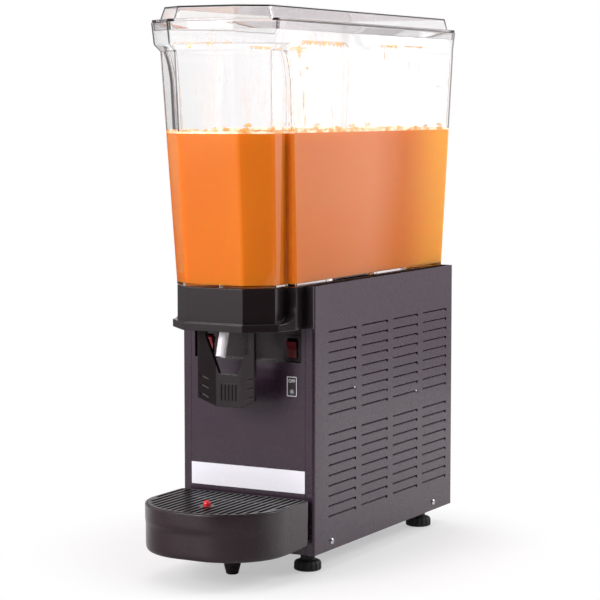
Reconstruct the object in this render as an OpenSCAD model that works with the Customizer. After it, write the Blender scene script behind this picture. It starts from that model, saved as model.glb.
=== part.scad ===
// Counter-top juice dispenser: a clear bowl on a louvred, refrigerated cabinet with a pinch tap.
// Millimetres, +Z up, front towards -Y. The origin is on the counter, under the middle of the overall box.

/* [Cabinet] */
// Width of the cabinet across the side panels
body_w = 185; // [176:1:210]
// Depth of the cabinet from front panel to rear panel
body_d = 395; // [380:1:440]
// Height of the side panels
body_h = 328; // [315:1:360]
// Thickness of the sheet panels
panel_t = 1.2; // [0.8:0.1:2]
// Width of a side panel's return across the front
return_w = 12; // [9:0.5:16]
// Outer radius of the bend into that return
bend_r = 3.5; // [3:0.5:8]
// Depth of the deck below the top edges of the panels
deck_drop = 6.5; // [4:0.5:8]
// Thickness of the base pan
pan_t = 1.5; // [1:0.1:3]
// Height of the base pan's turned-up edges
pan_lip = 22; // [16:1:30]
// Clearance between pieces that are fitted together
fit = 0.2; // [0.1:0.05:0.4]

/* [Feet] */
// Height of the feet below the cabinet
foot_h = 24; // [20:1:36]
// Radius of a foot's pad
foot_r = 17; // [13:0.5:22]
// Height of a foot's pad
foot_pad_h = 13; // [8:0.5:16]
// Radius of a foot's neck
foot_neck_r = 9; // [7:0.5:12]
// Foot centre to the cabinet's side
foot_side = 24; // [20:1:34]
// Front foot centre to the front panel
foot_front = 28; // [20:1:50]
// Rear foot centre to the rear panel
foot_rear = 52; // [20:1:80]

/* [Louvres] */
// Louvre columns on a side panel
louvre_cols = 4; // [2:1:5]
// Louvre rows in the lower block and again in the upper one
louvre_rows = 9; // [4:1:10]
// First louvre to the front panel
louvre_front = 37; // [20:1:50]
// Last louvre to the rear panel
louvre_rear = 17.4; // [14:0.1:50]
// Plain metal between two louvre columns
louvre_gap = 15.2; // [10:0.1:30]
// Height from one louvre row to the next
louvre_pitch = 12.65; // [11:0.05:14]
// Lowest louvre above the cabinet's bottom edge
louvre_base = 40.8; // [34:0.1:60]
// Height of one louvre's slot
louvre_h = 2.4; // [2:0.1:5]
// How deep the tongue behind a slot is pressed in
louvre_deep = 4; // [3.5:0.1:5]
// How far the tongue reaches up behind the sheet above its slot
louvre_lap = 1.5; // [0.5:0.1:2]
// Length of the hook at a slot's rear end
hook_len = 4; // [2:0.5:8]
// Drop of the hook below its slot
hook_h = 1.6; // [1:0.1:3]

/* [Front] */
// Plain front panel on either side of the switch recess
recess_side = 5.3; // [4:0.1:12]
// Height of the recess's lower edge above the cabinet's bottom
recess_low = 234.5; // [228:0.5:240]
// Height of the recess opening
recess_h = 45.5; // [40:0.5:50]
// Depth of the recess behind the front panel
recess_d = 9; // [6:0.5:14]
// Wall of the recess moulding
recess_t = 1.5; // [1:0.1:3]
// Front panel left bare on either side of the name plate
plate_side = 0.3; // [0:0.1:20]
// Height of the name plate
plate_h = 27.5; // [20:0.5:40]
// Lower edge of the name plate above the cabinet's bottom
plate_low = 75.5; // [72:0.5:90]
// Thickness of the name plate
plate_t = 0.8; // [0.4:0.1:1.5]
// Width of the switch label
label_w = 14.5; // [10:0.5:20]
// Height of the switch label
label_h = 25; // [16:0.5:30]
// Gap between the recess and the label under it
label_drop = 16.5; // [8:0.5:24]
// Thickness of the switch label
label_t = 0.3; // [0.2:0.1:0.6]

/* [Switches] */
// Switch centre to the side of the recess
switch_side = 16; // [15:0.5:24]
// Width of a switch's frame
switch_w = 25; // [22:0.5:28]
// Height of a switch's frame
switch_h = 32; // [30:0.5:36]
// How far the frame stands out of the recess wall
switch_out = 3; // [2:0.5:5]
// Depth of a switch behind the recess wall
switch_d = 24; // [20:1:36]
// Width of a rocker
rocker_w = 13; // [10:0.5:16]
// Height of a rocker
rocker_h = 20; // [16:0.5:21]
// Angle a rocker is tipped at rest
rocker_tip = 9; // [6:0.5:12]

/* [Bowl] */
// Reach of the nose ahead of the front panel at the bowl's foot
nose_reach = 79; // [74:0.5:86]
// Half width of the nose's front facet
nose_flat = 39.3; // [34:0.1:44]
// Depth of the nose's corner facets
nose_cut = 27; // [22:0.5:28]
// Step from the main bowl's side in to the nose's side
nose_step = 12.9; // [8:0.1:16]
// Distance of the shoulder, where the bowl widens, ahead of the front panel
shoulder = 25; // [20:0.5:30]
// Side of the bowl's foot inside the side of the cabinet
bowl_side = 11.1; // [8:0.1:16]
// Rear of the bowl's foot behind the front panel
bowl_rear = 391; // [360:1:394]
// Cut of the bowl's rear corners
rear_cut = 6; // [4:0.5:20]
// Height of the bowl up to the flare under its rim
bowl_h = 279.5; // [220:0.5:320]
// Height of the flare
flare_h = 8; // [4:0.5:12]
// Height of the rim band
rim_h = 26; // [16:0.5:32]
// Wall of the bowl
bowl_wall = 3; // [2:0.1:4]
// Floor of the bowl
bowl_floor = 4; // [3:0.1:6]
// Forward lean of the nose over the bowl's height
lean_front = 20; // [10:0.5:24]
// Outward lean of the nose's sides
lean_nose = 9.4; // [6:0.1:10]
// Outward lean of the main bowl's sides
lean_main = 3.7; // [2:0.1:5]
// Backward lean of the rear wall
lean_rear = 26; // [15:0.1:32]
// Outward lean of the rim band
rim_lean = 2.8; // [1:0.1:4]
// Height of the bowl's foot above the deck
bowl_seam = 7; // [5:0.5:10]
// Level of the juice above the bowl's foot
juice_h = 184; // [100:0.5:250]

/* [Lid] */
// Thickness of the lid's edge
lid_edge = 3; // [2.7:0.1:5]
// Height of the lid above the rim
lid_h = 18.5; // [12:0.5:26]
// Wall of the lid
lid_wall = 2.5; // [1.5:0.1:3]
// Width of the flat ledge round the lid's raised top
lid_ledge = 10; // [8:0.5:11]
// How far the lid's top is drawn in from its edge
lid_in = 15; // [12:0.5:18]
// Depth of the lid's skirt inside the rim
lid_skirt = 10; // [6:0.5:16]

/* [Collar] */
// Height of the collar below the top of the cabinet
collar_drop = 51; // [46:0.5:54]
// Wall of the collar
collar_wall = 3; // [2:0.1:4]
// How far the collar's foot flange stands out
lip_out = 5.4; // [3:0.1:8]
// Thickness of the foot flange
lip_h = 9; // [5:0.5:10]
// Thickness of the wings that close the collar against the cabinet
wing_t = 3; // [2:0.5:5]
// Radius of the sweep from the foot flange up to the shoulder
sweep_r = 20; // [10:0.5:24]
// Thickness of the collar's top plate
collar_top = 4; // [3.5:0.5:6]

/* [Tap] */
// Reach of the tube's centre line ahead of the front panel
tube_reach = 52.9; // [50:0.1:56]
// Outer radius of the pinch tube
tube_r = 6; // [5:0.1:7]
// Inner radius of the pinch tube
tube_bore = 4; // [3:0.1:4.5]
// Forward lean of the tube's free end, degrees
tube_lean = 16; // [8:1:22]
// Straight length of the tube's free end
tube_end = 39; // [30:1:50]
// Pivot's distance behind the tube's centre line
pivot_back = 15; // [13:0.5:18]
// Pivot's depth below the top of the cabinet
pivot_drop = 27; // [24:0.5:32]
// Radius of the pivot pin
pin_r = 2.5; // [2:0.1:3]
// Running clearance of pins and shafts
run = 0.05; // [0.02:0.01:0.08]
// Lever's lower edge below its pivot
lever_len = 119; // [100:1:130]
// Half width of the lever
lever_half = 39.4; // [36:0.1:41]
// Half width of the lever's middle face
lever_face = 17; // [12:0.5:20]
// Height of the lever's middle face
lever_face_h = 40; // [30:1:50]
// Forward sweep of the lever's wings
lever_sweep = 6; // [3:0.5:8]
// Thickness of the lever
lever_t = 5; // [4:0.1:6]
// Width of the lever's arms at the pivot
arm_w = 10; // [8:0.5:12]
// Radius of the bar that pinches the tube
bar_r = 3; // [2:0.1:4]
// Bar's depth below the pivot
bar_drop = 14; // [12:0.5:16]
// Wire radius of the lever spring
spring_wire = 0.7; // [0.5:0.05:0.9]
// Turns of the lever spring
spring_turns = 5; // [3:1:7]

/* [Drip tray] */
// Reach of the tray ahead of the front panel
tray_reach = 148; // [130:1:170]
// Side of the tray inside the side of the cabinet
tray_side = 1.5; // [0:0.5:12]
// Radius of the tray's two front corners
tray_round = 80; // [60:1:84]
// Radius of the tray's two rear corners
tray_rear_round = 8; // [2:0.5:10]
// Gap between the tray and the front panel
tray_gap = 6.5; // [3:0.5:12]
// Height of the tray's top above the counter
tray_top = 93.4; // [85:0.1:98]
// Height of the tray's underside above the counter
tray_low = 36; // [32:0.5:42]
// Height of the tray's rim band
tray_band = 20.5; // [14:0.5:26]
// How far the tray's front is set in under its rim band
tray_step = 4.5; // [2:0.5:8]
// Wall of the tray
tray_wall = 2.5; // [2:0.1:4]
// Thickness of the grid
grid_t = 3; // [2:0.1:4]
// Distance from one grid slot to the next
grid_pitch = 8.7; // [8:0.1:12]
// Width of a grid slot
grid_slot = 5; // [4:0.1:6]
// Solid edge of the grid
grid_edge = 2.5; // [2:0.5:10]
// Reach of the float ahead of the front panel
float_reach = 97; // [80:1:110]
// Radius of the float's red cap
float_cap = 4.7; // [3:0.1:6]
// Radius of the float's body
float_r = 11; // [8:0.5:14]
// Leg's distance ahead of the front panel
leg_reach = 38; // [30:1:60]
// Radius of the leg at the tray
leg_top_r = 17; // [10:0.5:20]
// Radius of the leg at the counter
leg_foot_r = 8; // [5:0.5:10]
// Clearance of the leg above the counter
leg_lift = 0.5; // [0.3:0.1:2]
// Width of a tongue that carries the tray
tongue_w = 22; // [14:1:30]
// Length of a tongue ahead of the front panel
tongue_len = 62; // [40:1:80]
// Thickness of a tongue
tongue_t = 2; // [1.5:0.1:3]
// Tongue centre to the middle of the front
tongue_x = 52; // [40:1:66]

/* [Cooling] */
// Evaporator's axis behind the front panel
evap_y = 185; // [150:1:220]
// Radius of the evaporator
evap_r = 50; // [44:0.5:52]
// Height of the evaporator above the deck
evap_h = 44; // [36:1:56]
// Wall of the evaporator
evap_wall = 1.2; // [0.8:0.1:2]
// Radius of the evaporator's flange
evap_flange = 62; // [58:0.5:66]
// Thickness of the bowl gasket
gasket_t = 4; // [3:0.1:5]
// Radius of the impeller's post
post_r = 4; // [3:0.1:5]
// Reach of the impeller's paddles
impeller_r = 44; // [30:1:48]
// Height of the impeller
impeller_h = 22; // [14:1:28]
// Radius of the drive rotor
rotor_r = 34; // [24:1:36]
// Radius of the agitator motor
stir_r = 32; // [24:1:36]
// Height of the agitator motor
stir_h = 56; // [40:1:60]
// Radius of the compressor
comp_r = 52; // [44:1:54]
// Height of the compressor's can
comp_h = 132; // [100:1:150]
// Compressor's axis behind the front panel
comp_y = 100; // [90:1:110]
// Height of the compressor's grommets
grommet_h = 10; // [6:0.5:14]
// Condenser's depth
cond_d = 40; // [30:1:44]
// Condenser's height
cond_h = 156; // [150:1:170]
// Gap between the condenser and the rear panel
cond_back = 36; // [34:1:44]
// Number of condenser fins
cond_fins = 18; // [8:1:24]
// Reach of the fan's blades
fan_r = 60; // [50:1:64]
// Radius of the fan motor
fan_motor_r = 27; // [20:1:32]
// Radius of a refrigerant pipe
pipe_r = 3.2; // [2:0.1:3.5]
// Radius of the thermostat knob
knob_r = 16; // [12:0.5:20]

/* [Hidden] */
$fn = 48;

eps = 0.01;
tan22 = tan(22.5);
z_bot = foot_h;
z_top = foot_h + body_h;
deck_t = 6;
deck_top = z_top - deck_drop;
deck_z = deck_top - deck_t;
half_w = body_w / 2;
inner_half = half_w - panel_t - fit;
inner_clear = inner_half - louvre_deep;
pan_top = z_bot + pan_t;
front_half = half_w - return_w - fit;
corner_cut = bend_r - panel_t - fit;
recess_half = front_half - recess_side;
plate_half = front_half - plate_side;
switch_x = recess_half - switch_side;
main_half = half_w - bowl_side;
nose_half = main_half - nose_step;
tray_half = half_w - tray_side;
tray_arc = min(tray_round, tray_half - 4);

// Outline that fits inside the panels, clear of their front bends, drawn in by a distance
function shell_plan(t) =
    let (h = inner_half - t, f = panel_t + fit + t, r = body_d - f,
        c = max(corner_cut - t * (2 - sqrt(2)), 0.1))
    [[c - h, f], [h - c, f], [h, f + c], [h, r], [-h, r], [-h, f + c]];

// Screws
screw_r = 2;
screw_head_r = 4;
screw_head_h = 2;
screw_grip = 10;
side_screw_z = z_bot + 10.7;
side_screw_front = 46;
side_screw_rear = 56;
rear_screw_x = half_w - 14;
rear_screw_low = z_bot + 10;
rear_screw_high = deck_z - 8;

// Bowl outlines: front y, front half, facet y, nose half, shoulder y, main half, rear y, rear cut, run
lean_facet = lean_front + 1;
lean_shoulder = lean_front - 3.4;
lean_flat = 1.5;
bowl_z = deck_top + bowl_seam;
foot_plan = [-nose_reach, nose_flat, nose_cut - nose_reach, nose_half, -shoulder, main_half, bowl_rear,
    rear_cut, 0];
bowl_lean = [-lean_front, lean_flat, -lean_facet, lean_nose, -lean_shoulder, lean_main, lean_rear, 0, 0];
function bowl_plan(h) = foot_plan + bowl_lean * h / bowl_h;
function inset(p, t) = [p[0] + t, p[1] - t * tan22, p[2] + t * tan22, p[3] - t, p[4] + t, p[5] - t, p[6] - t,
    max(p[7] - t * (2 - sqrt(2)), 0.5), p[8]];
function upright(p, q) = [p[0], p[1], p[2], p[3], p[4], p[5], q[6], p[7], p[8]];
shoulder_run = 10;
function rim_from(p, t) = [p[0] - t, p[1] + t * tan22, p[2] - t * tan22, p[3] + t, p[4], p[3] + t, p[6], p[7],
    shoulder_run];
neck_plan = bowl_plan(bowl_h);
rim_flare = neck_plan[5] - neck_plan[3];
rim_low_plan = rim_from(neck_plan, rim_flare);
rim_top_plan = inset(rim_low_plan, -rim_lean);
neck_z = bowl_z + bowl_h;
rim_low_z = neck_z + flare_h;
rim_top_z = rim_low_z + rim_h;
lid_top_z = rim_top_z + lid_h;

// The row's middle lies halfway between the tray's front and the rim's rear
rear_reach = rim_top_plan[6];
front_y = (tray_reach - rear_reach) / 2;

// Collar and tap
collar_z = z_top - collar_drop;
collar_high = bowl_z - fit;
collar_gap = 0.6;
collar_plan = inset(foot_plan, collar_gap);
collar_plate_z = collar_high - collar_top;
pivot_y = pivot_back - tube_reach;
pivot_z = z_top - pivot_drop;
bar_z = pivot_z - bar_drop;
bar_y = -tube_reach + tube_r + 0.3 + bar_r;
hub_r = pin_r + 4.5;
arm_in = lever_half - arm_w;
face_y = -tube_reach + 6.6;
lever_low = pivot_z - lever_len;
face_top = lever_low + lever_face_h;
ear_gap = 1;
ear_t = 4.5;
ear_in = lever_half + ear_gap;
ear_out = ear_in + ear_t;
bracket_t = 3;
bracket_low = collar_z + 7;
bracket_high = collar_plate_z - 4;
anvil_t = 6;
anvil_y = -tube_reach - tube_r - 0.3;
anvil_h = 10;
bend_z = bar_z - 4.5;
tube_flange_r = tube_r + 4;
tube_flange_t = 2;
nipple_len = 21;
nipple_r = tube_bore - 0.35;
nipple_bore = tube_bore - 1.4;
spring_r = pin_r + 0.4 + spring_wire;
spring_pitch = 2 * spring_wire + 0.7;
spring_x = 12;

// Switches and recess
recess_z = z_bot + recess_low;
recess_back = panel_t + recess_d;
switch_z = recess_z + switch_h / 2 + 0.5;
switch_y = recess_back;
switch_body_w = switch_w - 5;
switch_body_h = switch_h - 6;
rocker_pin_r = 1.5;
rocker_gap = 0.5;
rocker_y = switch_y + 2;
rocker_out = switch_out + 4;
well_d = 12;
label_x = switch_x + 3;

// Tray
tray_rear = -tray_gap;

// Tray outline with its front and rear drawn in by one distance and its sides by another
function tray_corners(t, s) =
    let (h = tray_half - s)
    [[-h, t - tray_reach], [h, t - tray_reach], [h, tray_rear - t], [-h, tray_rear - t]];
tray_radii = [tray_arc, tray_arc, tray_rear_round, tray_rear_round];
function tray_plan(t, s) = rounded(tray_corners(t, s), [for (r = tray_radii) max(r - t, 1)]);
band_z = tray_top - tray_band;
grid_rise = 0.6;
grid_z = tray_top + grid_rise - grid_t;
shelf_in = tray_step + tray_wall;
tray_floor_z = tray_low + tray_wall;
guide_h = 8;
guide_t = 1.6;
float_gap = 0.5;
float_body_h = 14;
float_stem_r = 2.5;
float_dome = 1.5;
float_top_z = tray_top + 2.2;

// Deck, evaporator and drive
plinth_in = 2;
plinth_w = 8;
deck_hole = evap_r - evap_wall;
gasket_r = evap_r + gasket_t;
evap_top = deck_top + evap_h;
post_h = impeller_h + 4;
rotor_z = evap_top - 20;
rotor_t = 12;
shaft_r = 4;
stir_plate_z = deck_z - 38;
stir_plate_t = 2;
stir_plate_half = 60;
stir_plate_d = 50;
void_r = gasket_r + 2;
void_z = evap_top + post_h + 8;
coil_wire = pipe_r - 0.4;
coil_r = evap_r - evap_wall - 0.6 - pipe_r;
coil_pitch = 2 * coil_wire + 2;
coil_rings = 3;
coil_z = deck_top + 8;
coil_low = deck_z - 8;

// Machine room
comp_foot_t = 3;
comp_z = pan_top + grommet_h;
comp_foot_half = comp_r + 8;
comp_ear = comp_r;
comp_side = 13;
comp_x = comp_side + comp_foot_half - inner_half;
cond_half = inner_half - 18.5;
cond_y = body_d - panel_t - cond_back - cond_d;
shroud_d = 16;
shroud_t = 1.5;
fan_z = pan_top + cond_h / 2;
fan_y = cond_y - shroud_d / 2 - fit;
fan_hub_r = 18;
fan_shaft_r = 3;
fan_motor_len = 44;
fan_motor_y = fan_y - shroud_d / 2 - 4 - fan_motor_len;
motor_ring_t = 4;
motor_ring_r = fan_motor_r + 8;
pipe_x = inner_clear - pipe_r - fit;
stub_len = 2.5;
stub_r = pipe_r + 1;
discharge_z = comp_z + comp_h * 0.62;
suction_x = comp_x + 30;
suction_z = comp_z + comp_h + 8;
inlet_z = pan_top + cond_h - 14;
outlet_z = pan_top + 24;
stub_y = cond_y + cond_d / 2;
drier_r = 7;
drier_x = inner_clear - drier_r - fit;
drier_y = fan_y - 34;
drier_low = outlet_z + 20;
drier_len = 80;
line_z = deck_z - 16;

// Rear fittings
knob_x = half_w - 47.5;
knob_z = z_top - 60;
knob_h = 14;
thermo_w = 44;
thermo_h = 34;
thermo_d = 26;
gland_x = half_w - 32.5;
gland_z = knob_z - 62;
gland_r = 11;
gland_bore = 4.5;
gland_len = 14;
grille_slots = 14;
grille_half = cond_half - 8;
grille_slot_h = 5;

module from_front() {
    translate([0, front_y, 0]) children();
}

// Box from its lowest to its highest corner
module block(low, high) {
    translate(low) cube(high - low);
}

// Cylinder along X or along Y, starting at a point
module rod_x(start, r, len) {
    translate(start) rotate([0, 90, 0]) cylinder(r = r, h = len);
}

module rod_y(start, r, len) {
    translate(start) rotate([-90, 0, 0]) cylinder(r = r, h = len);
}

module mirrored_x() {
    children();
    mirror([1, 0, 0]) children();
}

// Outline with each corner turned on a radius of its own
arc_steps = 6;
function unit(v) = v / norm(v);
function turn(a) = a > 180 ? a - 360 : (a < -180 ? a + 360 : a);
function corner_arc(a, b, c, r) =
    let (u = unit(a - b), v = unit(c - b), half = acos(u * v) / 2,
        mid = b + unit(u + v) * r / sin(half), reach = r / tan(half),
        from = b + u * reach - mid, to = b + v * reach - mid,
        start = atan2(from[1], from[0]), sweep = turn(atan2(to[1], to[0]) - start),
        steps = max(arc_steps, round(sweep * sqrt(r) / 40)))
    [for (i = [0 : steps]) let (at = start + sweep * i / steps) mid + r * [cos(at), sin(at)]];
function rounded(pts, radii) = let (n = len(pts)) [for (i = [0 : n - 1])
    each corner_arc(pts[(i + n - 1) % n], pts[i], pts[(i + 1) % n], radii[i])];

// Points of a bowl outline, counter-clockwise from the nose's left front corner
function plan_points(p) = concat(
    [[-p[1], p[0]], [p[1], p[0]], [p[3], p[2]], [p[3], p[4] - p[8]], [p[5], p[4]]],
    [[p[5], p[6] - p[7]], [p[5] - p[7], p[6]], [p[7] - p[5], p[6]], [-p[5], p[6] - p[7]]],
    [[-p[5], p[4]], [-p[3], p[4] - p[8]], [-p[3], p[2]]]);

// Points of the nose alone, closed at a straight rear edge
function nose_points(p, rear) = [[-p[1], p[0]], [p[1], p[0]], [p[3], p[2]], [p[3], p[4]], [p[5], p[4]],
    [p[5], rear], [-p[5], rear], [-p[5], p[4]], [-p[3], p[4]], [-p[3], p[2]]];

// Triangles that fill a bowl outline: the nose, then the main part
plan_cap = [[0, 1, 2], [0, 2, 3], [0, 3, 10], [0, 10, 11], [6, 7, 8], [6, 8, 9], [6, 9, 10], [6, 10, 3],
    [6, 3, 4], [6, 4, 5]];

// Solid through a stack of outlines at the given heights
module loft(plans, heights) {
    rings = [for (p = plans) plan_points(p)];
    n = len(rings[0]);
    m = len(rings);
    points = [for (i = [0 : m - 1]) for (q = rings[i]) [q[0], q[1], heights[i]]];
    sides = [for (i = [0 : m - 2]) for (j = [0 : n - 1]) for (tri = [
        [i * n + j, (i + 1) * n + j, (i + 1) * n + (j + 1) % n],
        [i * n + j, (i + 1) * n + (j + 1) % n, i * n + (j + 1) % n]]) tri];
    top = [for (tri = plan_cap) [for (j = [2 : -1 : 0]) (m - 1) * n + tri[j]]];
    polyhedron(points, concat(plan_cap, top, sides));
}

// Helix of round wire about Z, as one unbroken tube
curl_rings = 12;
wire_turn = [0, 60, 120, 180, 240, 300];
wire_sides = len(wire_turn);
function helix_point(r, pitch, k) = [r * cos(360 * k / curl_rings), r * sin(360 * k / curl_rings),
    pitch * k / curl_rings];
function helix_gap(r, pitch, wire) =
    norm(helix_point(r, pitch, curl_rings) - helix_point(r, pitch, 0)) - 2 * wire;
module helix(r, wire, pitch, turns) {
    last = floor(turns * curl_rings);
    points = [for (k = [0 : last]) for (s = [0 : wire_sides - 1])
        let (a = 360 * k / curl_rings, b = wire_turn[s], q = r + wire * cos(b))
        [q * cos(a), q * sin(a), pitch * k / curl_rings + wire * sin(b)]];
    sides = [for (k = [0 : last - 1]) for (s = [0 : wire_sides - 1])
        let (n = (s + 1) % wire_sides, c = k * wire_sides, d = c + wire_sides)
        for (tri = [[c + s, c + n, d + n], [c + s, d + n, d + s]]) tri];
    start = [for (s = [wire_sides - 1 : -1 : 0]) s];
    end = [for (s = [0 : wire_sides - 1]) last * wire_sides + s];
    polyhedron(points, concat([start, end], sides));
}

// Pipe through a list of points, with a ball at each corner
module pipe(route, r) {
    for (i = [0 : len(route) - 2]) {
        step = route[i + 1] - route[i];
        bearing = atan2(step[1], step[0]);
        tilt = acos(step[2] / norm(step));
        translate(route[i]) rotate([0, tilt, bearing]) cylinder(r = r, h = norm(step));
    }
    for (i = [1 : len(route) - 2]) translate(route[i]) rotate([20, 35, 50]) sphere(r = r + 0.4);
}

// Pan-head screw along +X: its head's inner face lies at the start
module screw_x(start) {
    rod_x(start - [screw_head_h, 0, 0], screw_head_r, screw_head_h);
    rod_x(start, screw_r, screw_grip);
}

module base_pan() {
    color("dimgray") from_front() difference() {
        translate([0, 0, z_bot]) linear_extrude(pan_t + pan_lip) polygon(shell_plan(0));
        translate([0, 0, pan_top]) linear_extrude(pan_lip + 1) polygon(shell_plan(pan_t));
        foot_places() translate([0, 0, z_bot - 1]) cylinder(r = screw_r + fit, h = pan_t + 2);
        comp_places() translate([0, 0, z_bot - 1]) cylinder(r = screw_r + fit, h = pan_t + 2);
        side_screw_holes();
        for (x = [-rear_screw_x, rear_screw_x])
            rod_y([x, body_d - 20, rear_screw_low], screw_r + fit, 20);
    }
}

module foot_places() {
    for (x = [foot_side - half_w, half_w - foot_side])
        for (y = [foot_front, body_d - foot_rear]) translate([x, y, 0]) children();
}

module feet() {
    neck = foot_h - foot_pad_h;
    color("#1b1a1b") from_front() foot_places() difference() {
        rotate_extrude() polygon([[0, 0], [foot_r - 1.5, 0], [foot_r, 1.5], [foot_r, foot_pad_h - 3],
            [foot_r - 3, foot_pad_h], [foot_neck_r, foot_pad_h], [foot_neck_r, foot_pad_h + neck],
            [0, foot_pad_h + neck]]);
        translate([0, 0, -1]) cylinder(r = screw_r + fit, h = foot_h + 2);
        translate([0, 0, -1]) cylinder(r = screw_head_r + 1, h = foot_pad_h - 3);
    }
}

module foot_screws() {
    seat = foot_pad_h - 4;
    color("silver") from_front() foot_places() {
        translate([0, 0, seat - screw_head_h]) cylinder(r = screw_head_r, h = screw_head_h);
        translate([0, 0, seat]) cylinder(r = screw_r, h = pan_top + 4 - seat);
    }
}

module side_screw_places() {
    for (y = [side_screw_front, body_d - side_screw_rear]) translate([0, y, side_screw_z]) children();
}

module side_screw_holes() {
    side_screw_places() rod_x([-half_w - 1, 0, 0], screw_r + fit, body_w + 2);
}

louvre_len = (body_d - louvre_front - louvre_rear - (louvre_cols - 1) * louvre_gap) / louvre_cols;
louvre_count = 2 * louvre_rows + 1;

// One slot's tongue in section, from a height: the sheet leaning in behind it, X outwards and Y up
module tongue_section(low) {
    high = low + louvre_h + louvre_lap;
    polygon([[0, low - eps], [panel_t, low - eps], [panel_t - louvre_deep, high], [-louvre_deep, high]]);
}

// Each louvre's place, from its front lower corner
module at_louvres() {
    for (c = [0 : louvre_cols - 1]) for (i = [0 : louvre_count - 1]) if (i != louvre_rows)
        translate([0, louvre_front + c * (louvre_len + louvre_gap), z_bot + louvre_base + i * louvre_pitch])
            children();
}

module side_panel() {
    inner = half_w - panel_t;
    edge = half_w - return_w;
    sheet = concat([[edge, 0]], corner_arc([edge, 0], [half_w, 0], [half_w, body_d], bend_r),
        [[half_w, body_d], [inner, body_d]],
        corner_arc([inner, body_d], [inner, panel_t], [edge, panel_t], bend_r - panel_t), [[edge, panel_t]]);
    difference() {
        translate([0, 0, z_bot]) linear_extrude(body_h) polygon(sheet);
        side_screw_holes();
        at_louvres() {
            block([half_w - panel_t - 1, 0, 0], [half_w + 1, louvre_len, louvre_h]);
            block([half_w - panel_t - 1, louvre_len - hook_len, -hook_h], [half_w + 1, louvre_len, louvre_h]);
        }
    }
    at_louvres() {
        translate([inner, louvre_len - hook_len, 0]) rotate([90, 0, 0])
            linear_extrude(louvre_len - hook_len) tongue_section(0);
        translate([inner, louvre_len, 0]) rotate([90, 0, 0]) linear_extrude(hook_len) tongue_section(-hook_h);
    }
}

module left_side_panel() {
    color("#6a5e68") from_front() mirror([1, 0, 0]) side_panel();
}

module right_side_panel() {
    color("#6a5e68") from_front() side_panel();
}

module side_panel_screws() {
    color("silver") from_front() side_screw_places() mirrored_x() screw_x([-half_w, 0, 0]);
}

module front_panel() {
    color("#423a3f") from_front() difference() {
        block([-front_half, 0, z_bot], [front_half, panel_t, z_top]);
        block([-recess_half, -1, recess_z], [recess_half, panel_t + 1, recess_z + recess_h]);
        bracket_screw_places() rod_y([0, -1, 0], screw_r + fit, panel_t + 2);
    }
}

// Moulded pocket behind the opening in the front panel, with a window for each switch
module switch_recess() {
    color("#2b2729") from_front() difference() {
        block([-recess_half - recess_t, panel_t, recess_z - recess_t],
            [recess_half + recess_t, recess_back + recess_t, recess_z + recess_h + recess_t]);
        block([-recess_half, panel_t - 1, recess_z], [recess_half, recess_back, recess_z + recess_h]);
        mirrored_x() translate([switch_x, recess_back, switch_z]) block(
            [-switch_body_w / 2 - fit, -1, -switch_body_h / 2 - fit],
            [switch_body_w / 2 + fit, recess_t + 1, switch_body_h / 2 + fit]);
    }
}

module name_plate() {
    low = z_bot + plate_low;
    color("#e8eaf2") from_front() block([-plate_half, -plate_t, low], [plate_half, 0, low + plate_h]);
}

module switch_label() {
    high = recess_z - label_drop;
    color("white") from_front()
        block([label_x - label_w / 2, -label_t, high - label_h], [label_x + label_w / 2, 0, high]);
}

// Frame in front of the recess wall, body behind it, and a well for the rocker
module switch_housing() {
    well_w = rocker_w / 2 + rocker_gap;
    well_h = rocker_h / 2 + rocker_gap + 1.5;
    translate([0, 0, switch_z]) difference() {
        union() {
            block([-switch_w / 2, switch_y - switch_out, -switch_h / 2],
                [switch_w / 2, switch_y, switch_h / 2]);
            block([-switch_body_w / 2, switch_y, -switch_body_h / 2],
                [switch_body_w / 2, switch_y + switch_d, switch_body_h / 2]);
        }
        block([-well_w, switch_y - switch_out - 1, -well_h], [well_w, switch_y + well_d, well_h]);
        rod_x([-rocker_w / 2 - 2, rocker_y, 0], rocker_pin_r + run, rocker_w + 4);
    }
}

// Rocker tipped about its pin, with a shallow V front
module rocker() {
    front = -rocker_out - 2;
    translate([0, rocker_y, switch_z]) {
        rod_x([-rocker_w / 2 - 2 + fit, 0, 0], rocker_pin_r, rocker_w + 4 - 2 * fit);
        rotate([rocker_tip, 0, 0]) translate([rocker_w / 2, 0, 0]) rotate([0, -90, 0])
            linear_extrude(rocker_w) polygon([[-rocker_h / 2, front], [0, front + 2], [rocker_h / 2, front],
                [rocker_h / 2, -1], [4, 5], [-4, 5], [-rocker_h / 2, -1]]);
    }
}

module left_switch() {
    color("#191818") from_front() translate([-switch_x, 0, 0]) switch_housing();
}

module left_rocker() {
    color("#c4283a") from_front() translate([-switch_x, 0, 0]) rocker();
}

module right_switch() {
    color("#191818") from_front() translate([switch_x, 0, 0]) switch_housing();
}

module right_rocker() {
    color("#c4283a") from_front() translate([switch_x, 0, 0]) rocker();
}

module rear_screw_places() {
    for (x = [-rear_screw_x, rear_screw_x]) for (z = [rear_screw_low, rear_screw_high])
        translate([x, body_d, z]) children();
}

module rear_panel() {
    slot_step = (cond_h - 2 * grille_slot_h) / grille_slots;
    color("#423a3f") from_front() difference() {
        block([-inner_half, body_d - panel_t, z_bot], [inner_half, body_d, z_top]);
        for (i = [0 : grille_slots - 1]) {
            low = pan_top + pan_lip + i * slot_step;
            mirrored_x() block([6, body_d - panel_t - 1, low],
                [grille_half, body_d + 1, low + grille_slot_h]);
        }
        rear_screw_places() rod_y([0, -panel_t - 1, 0], screw_r + fit, panel_t + 2);
        rod_y([gland_x, body_d - panel_t - 1, gland_z], gland_r - 3 + fit, panel_t + 2);
        rod_y([knob_x, body_d - panel_t - 1, knob_z], fan_shaft_r + 1, panel_t + 2);
    }
}

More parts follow.
